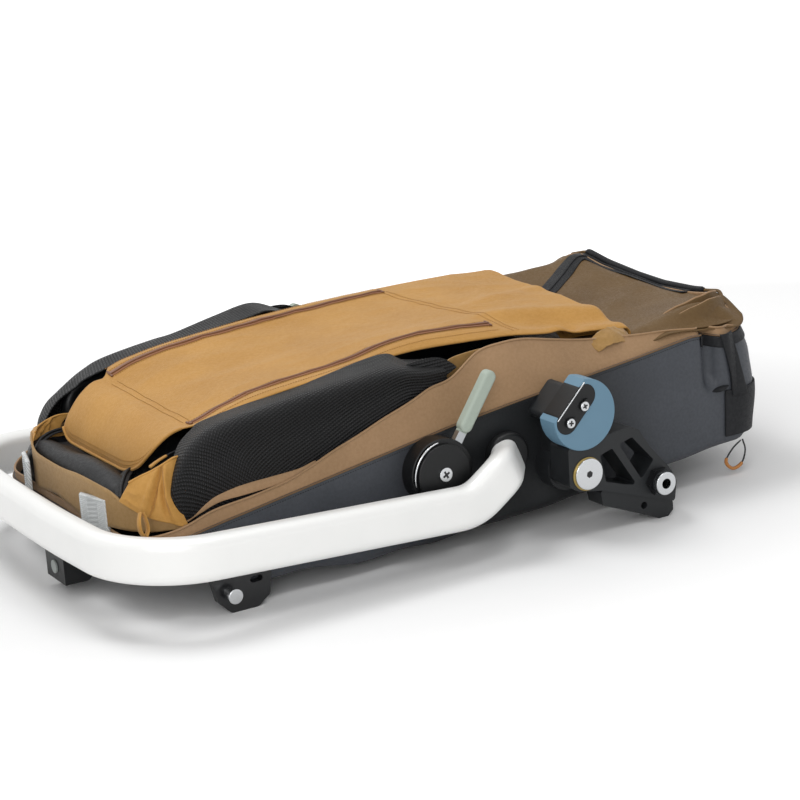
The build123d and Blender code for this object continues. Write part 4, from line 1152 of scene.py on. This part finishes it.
def lens_points(side, middle_y):
    """A plate turned to follow the strap: ribs, a honeycomb, then ribs again, in a plain rim."""
    a = np.linspace(-1, 1, 141)[:, None]
    b = np.linspace(-1, 1, 141)[None]
    across, up = a * LENS_WIDE / 2, b * LENS_HIGH / 2
    rim = np.clip(np.minimum(LENS_WIDE / 2 - np.abs(across), LENS_HIGH / 2 - np.abs(up)) / 1.6, 0, 1)
    ribs = 0.5 * np.abs(np.sin(across * 1.9))
    comb = 0.6 * np.abs(np.sin(across * 1.5)) * np.abs(np.sin(up * 1.5 + np.floor(across / 2.1) * 1.57))
    column = np.where(np.abs(across - 1) < 8.5, comb, ribs)
    bars = bump(across, -8.5, 0.8) + bump(across, 10.5, 0.8)
    inside = ease((LENS_WIDE / 2 - 3.2 - np.abs(across)) / 0.8) * ease((LENS_HIGH / 2 - 3.2
            - np.abs(up)) / 0.8)
    depth = 5.0 * rim ** 0.5 - inside * (1.6 - column) + 0.8 * bars * inside
    x = -400.0 - depth * np.cos(LENS_TURN) + side * across * np.sin(LENS_TURN)
    y = middle_y + across * np.cos(LENS_TURN) + side * depth * np.sin(LENS_TURN)
    return np.stack([x + 0 * b, y + 0 * b, 112 + up + 0 * a], axis=-1)


for side, label, middle_y in ((-1, "left", -114), (1, "right", 94)):
    lens = grid(f"reflector_lens_{label}", lens_points(side, middle_y), lens_clear, slot="clear_reflector",
                flip=True)
    thicken(lens, 2.4)
    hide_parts(f"reflector_{label}")

# --- drawcord at the tail --------------------------------------------------------------------------
CORD_ROUTE = [
    (461, -215, 45.3), (465, -215, 30), (459, -214, 13), (444, -214, 9), (433, -215, 21),
    (443, -216, 36), (457, -216, 45),
]
cord_line = metres(smooth_path(CORD_ROUTE, 40))
cord_data = bpy.data.curves.new("drawcord_line", "CURVE")
cord_data.dimensions = "3D"
cord_data.bevel_depth = 0.0011
cord_data.bevel_resolution = 3
cord_data.use_fill_caps = True
spline = cord_data.splines.new("NURBS")
spline.points.add(len(cord_line) - 1)
spline.points.foreach_set("co", np.concatenate([cord_line, np.ones((40, 1))], axis=1).ravel())
spline.order_u = 3
spline.use_endpoint_u = True
cord_data.materials.append(cord_cloth)
drawcord = bpy.data.objects.new("drawcord_line", cord_data)
bpy.context.scene.collection.objects.link(drawcord)
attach(drawcord, "base")
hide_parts("drawcord", "drawcord_sleeve")
sleeve_line = smooth_path(CORD_ROUTE, 90)[30:62]
sleeve = tube("drawcord_cover", sleeve_line, 2.3, tan_rubber, slot="tan_rubber", sides=12)

# --- small hardware -------------------------------------------------------------------------------
def plug(name, centre, outline, y_from, y_to, material, slot, body="base"):
    """A flat prism: an outline in x and z swept along y, closed at both ends by rings drawn to its middle."""
    outline = np.asarray(outline, float) + [centre[0], centre[1]]
    side = np.sign(y_to)
    rings = []
    for y, grow in ((y_from, 0.0), (y_from, 1.0), (y_to - side * 0.3, 1.0), (y_to, 0.94), (y_to, 0.0)):
        flat = np.array(centre) + (outline - centre) * grow
        rings.append(np.stack([flat[:, 0], np.full(len(flat), y), flat[:, 1]], axis=1))
    points = np.stack(rings)
    points = np.concatenate([points, points[:, :1]], axis=1)
    obj = grid(name, points, material, body=body, slot=slot, flip=side < 0)
    obj.data.polygons.foreach_set("use_smooth", np.zeros(len(obj.data.polygons), bool))
    return obj


def round_outline(radius, corners=6, turn=0.0):
    """A regular outline of that many corners."""
    angle = np.linspace(0, 2 * np.pi, corners, endpoint=False) + turn
    return radius * np.stack([np.cos(angle), np.sin(angle)], axis=1)


def cross_outline(reach, half, turn=0.0):
    """A cross of arms that reach from its middle, each twice half wide."""
    quarter = np.array([(reach, -half), (reach, half), (half, half)])
    parts = []
    for k in range(4):
        angle = turn + k * np.pi / 2
        spin = np.array([[np.cos(angle), -np.sin(angle)], [np.sin(angle), np.cos(angle)]])
        parts.append(quarter @ spin.T)
    return np.concatenate(parts)


for side, label in ((-1, "left"), (1, "right")):
    # The pivot's hex socket is a dark plug: painted shade.
    plug(f"pivot_socket_{label}", (161, 82), round_outline(4.6, turn=0.3), side * 296, side * 299.3,
         recess_painted_shade, "black_plastic")
    plug(f"pivot_rim_{label}", (160, 82), round_outline(20.8, 40), side * 295, side * 296.4, brass,
         "bright_steel")
    plug(f"drum_screw_{label}", (-15, 110), round_outline(8.6, 32), side * 256, side * 258.6, bright_steel,
         "bright_steel")
    # The drum screw's cross recess is a dark plug: painted shade.
    plug(f"drum_recess_{label}", (-15, 110), cross_outline(5.0, 1.3, 0.5), side * 257, side * 258.9,
         recess_painted_shade, "black_plastic")
    for k, place in enumerate(((156, 169), (135, 152))):
        plug(f"clamp_screw_{k}_{label}", place, round_outline(5.8, 28), side * 301, side * 303.6, bright_steel,
             "bright_steel")
        # The clamp screw's cross recess is a dark plug: painted shade.
        plug(f"clamp_recess_{k}_{label}", place, cross_outline(3.4, 1.0, 0.4 + k), side * 302, side * 303.9,
             recess_painted_shade, "black_plastic")
    # A painted highlight: a thin bright steel arc along the upper edge of the drum's slot.
    arc = np.radians(np.linspace(100, 190, 50))
    arc_line = np.stack([-15 + 40.6 * np.cos(arc), np.full(50, side * 255.2), 110 + 40.6 * np.sin(arc)],
                        axis=1)
    tube(f"drum_bright_edge_{label}", arc_line, 0.7 + 0.5 * np.sin(np.linspace(0, np.pi, 50)), bright_steel,
         sides=8)
    edge_line = np.linspace([117, side * 302.2, 158], [157, side * 302.2, 198], 20)
    tube(f"clamp_bright_edge_{label}", edge_line, 0.7, bright_steel, sides=8)

# --- finishes of the frame's own parts ------------------------------------------------------------
FINISHES = {
    "frame_black": frame_paint, "black_casting": black_casting, "cage_tube": cage_paint,
    "bar_aluminium": satin_aluminium, "bright_steel": bright_steel, "black_steel": black_steel,
    "blue_elastomer": blue_elastomer, "black_plastic": black_plastic, "grip_rubber": grip_rubber,
    "clear_reflector": lens_clear, "grey_plastic": grey_plastic, "cord_fabric": cord_cloth,
    "tan_rubber": tan_rubber, "brown_webbing": webbing, "brown_fabric": brown, "golden_fabric": golden,
    "tub_fabric": tub_dark, "black_mesh": mesh_black,
}
OWN_FINISHES = {"lock_lever": lever_finish}
for part in frame["record"]["subparts"]:
    mesh = frame["nodes"][part["node"]].data
    finish = OWN_FINISHES.get(part["node"].rsplit("_", 1)[0], FINISHES[part["material_slot"]])
    for k in range(len(mesh.materials)):
        mesh.materials[k] = finish

# --- camera, light and floor ----------------------------------------------------------------------
CAMERA_AT = Vector((-1.3203, -2.4366, 0.9035))
LOOK_AT = Vector((0.1142, 0.0975, 0.1))
CAMERA_ROLL = np.radians(-3.98)
camera_data = bpy.data.cameras.new("camera")
camera_data.lens = 101.25
camera_data.sensor_width = 36.0
camera = bpy.data.objects.new("camera", camera_data)
bpy.context.scene.collection.objects.link(camera)
facing = (LOOK_AT - CAMERA_AT).to_track_quat("-Z", "Y").to_matrix().to_4x4()
camera.matrix_world = Matrix.Translation(CAMERA_AT) @ facing @ Matrix.Rotation(CAMERA_ROLL, 4, "Z")
bpy.context.scene.camera = camera


def lamp(name, place, aim, size, power):
    """A square soft light at a place, turned to its aim."""
    data = bpy.data.lights.new(name, "AREA")
    data.size = size
    data.energy = power
    obj = bpy.data.objects.new(name, data)
    obj.location = place
    obj.rotation_euler = (Vector(aim) - Vector(place)).to_track_quat("-Z", "Y").to_euler()
    bpy.context.scene.collection.objects.link(obj)


lamp("key", (-0.7, 0.8, 2.7), (0, 0, 0.1), 1.2, 32)
lamp("fill", (-1.7, -2.4, 1.3), (0, 0, 0.1), 1.3, 28)
lamp("strip", (0.2, -0.9, 2.3), (-0.1, 0, 0.1), 0.6, 7)

world = bpy.data.worlds.new("studio")
bpy.context.scene.world = world
world.use_nodes = True
sky = world.node_tree
path = add(sky, "ShaderNodeLightPath")
seen = maths(sky, "MAXIMUM", path.outputs["Is Camera Ray"], path.outputs["Is Transmission Ray"])
seen = maths(sky, "MAXIMUM", seen, path.outputs["Is Glossy Ray"])
strength = spread(sky, seen, 0.0, 1.0, 0.45, 1.0)
background = sky.nodes["Background"]
background.inputs["Color"].default_value = (1, 1, 1, 1)
sky.links.new(strength, background.inputs["Strength"])

FLOOR_GLOW = 0.3
floor_mesh = bpy.data.meshes.new("floor")
floor_mesh.from_pydata([(-20, -20, 0), (20, -20, 0), (20, 20, 0), (-20, 20, 0)], [], [(0, 1, 2, 3)])
floor = bpy.data.objects.new("floor", floor_mesh)
bpy.context.scene.collection.objects.link(floor)
floor_finish, floor_tree, floor_shader = new_material("pale_floor")
floor_shader.inputs["Base Color"].default_value = (0.86, 0.86, 0.86, 1)
floor_shader.inputs["Roughness"].default_value = 0.7
floor_shader.inputs["Specular IOR Level"].default_value = 0.15
floor_path = add(floor_tree, "ShaderNodeLightPath")
floor_place = add(floor_tree, "ShaderNodeTexCoord").outputs["Object"]
reach = add(floor_tree, "ShaderNodeVectorMath", set_operation="MULTIPLY", in0=floor_place,
            in1=(2.0, 2.9, 0)).outputs[0]
away = add(floor_tree, "ShaderNodeVectorMath", set_operation="LENGTH", in0=reach).outputs["Value"]
seen = maths(floor_tree, "MAXIMUM", floor_path.outputs["Is Camera Ray"], floor_path.outputs["Is Glossy Ray"])
near_glow = spread(floor_tree, away, 0.9, 1.9, 0.0, FLOOR_GLOW)
glow = maths(floor_tree, "MULTIPLY", seen, maths(floor_tree, "MAXIMUM", near_glow, spread(floor_tree, away,
        2.2, 4.5)))
floor_shader.inputs["Emission Color"].default_value = (1, 1, 1, 1)
floor_tree.links.new(glow, floor_shader.inputs["Emission Strength"])
floor_mesh.materials.append(floor_finish)

view = bpy.context.scene.view_settings
view.view_transform = "Standard"
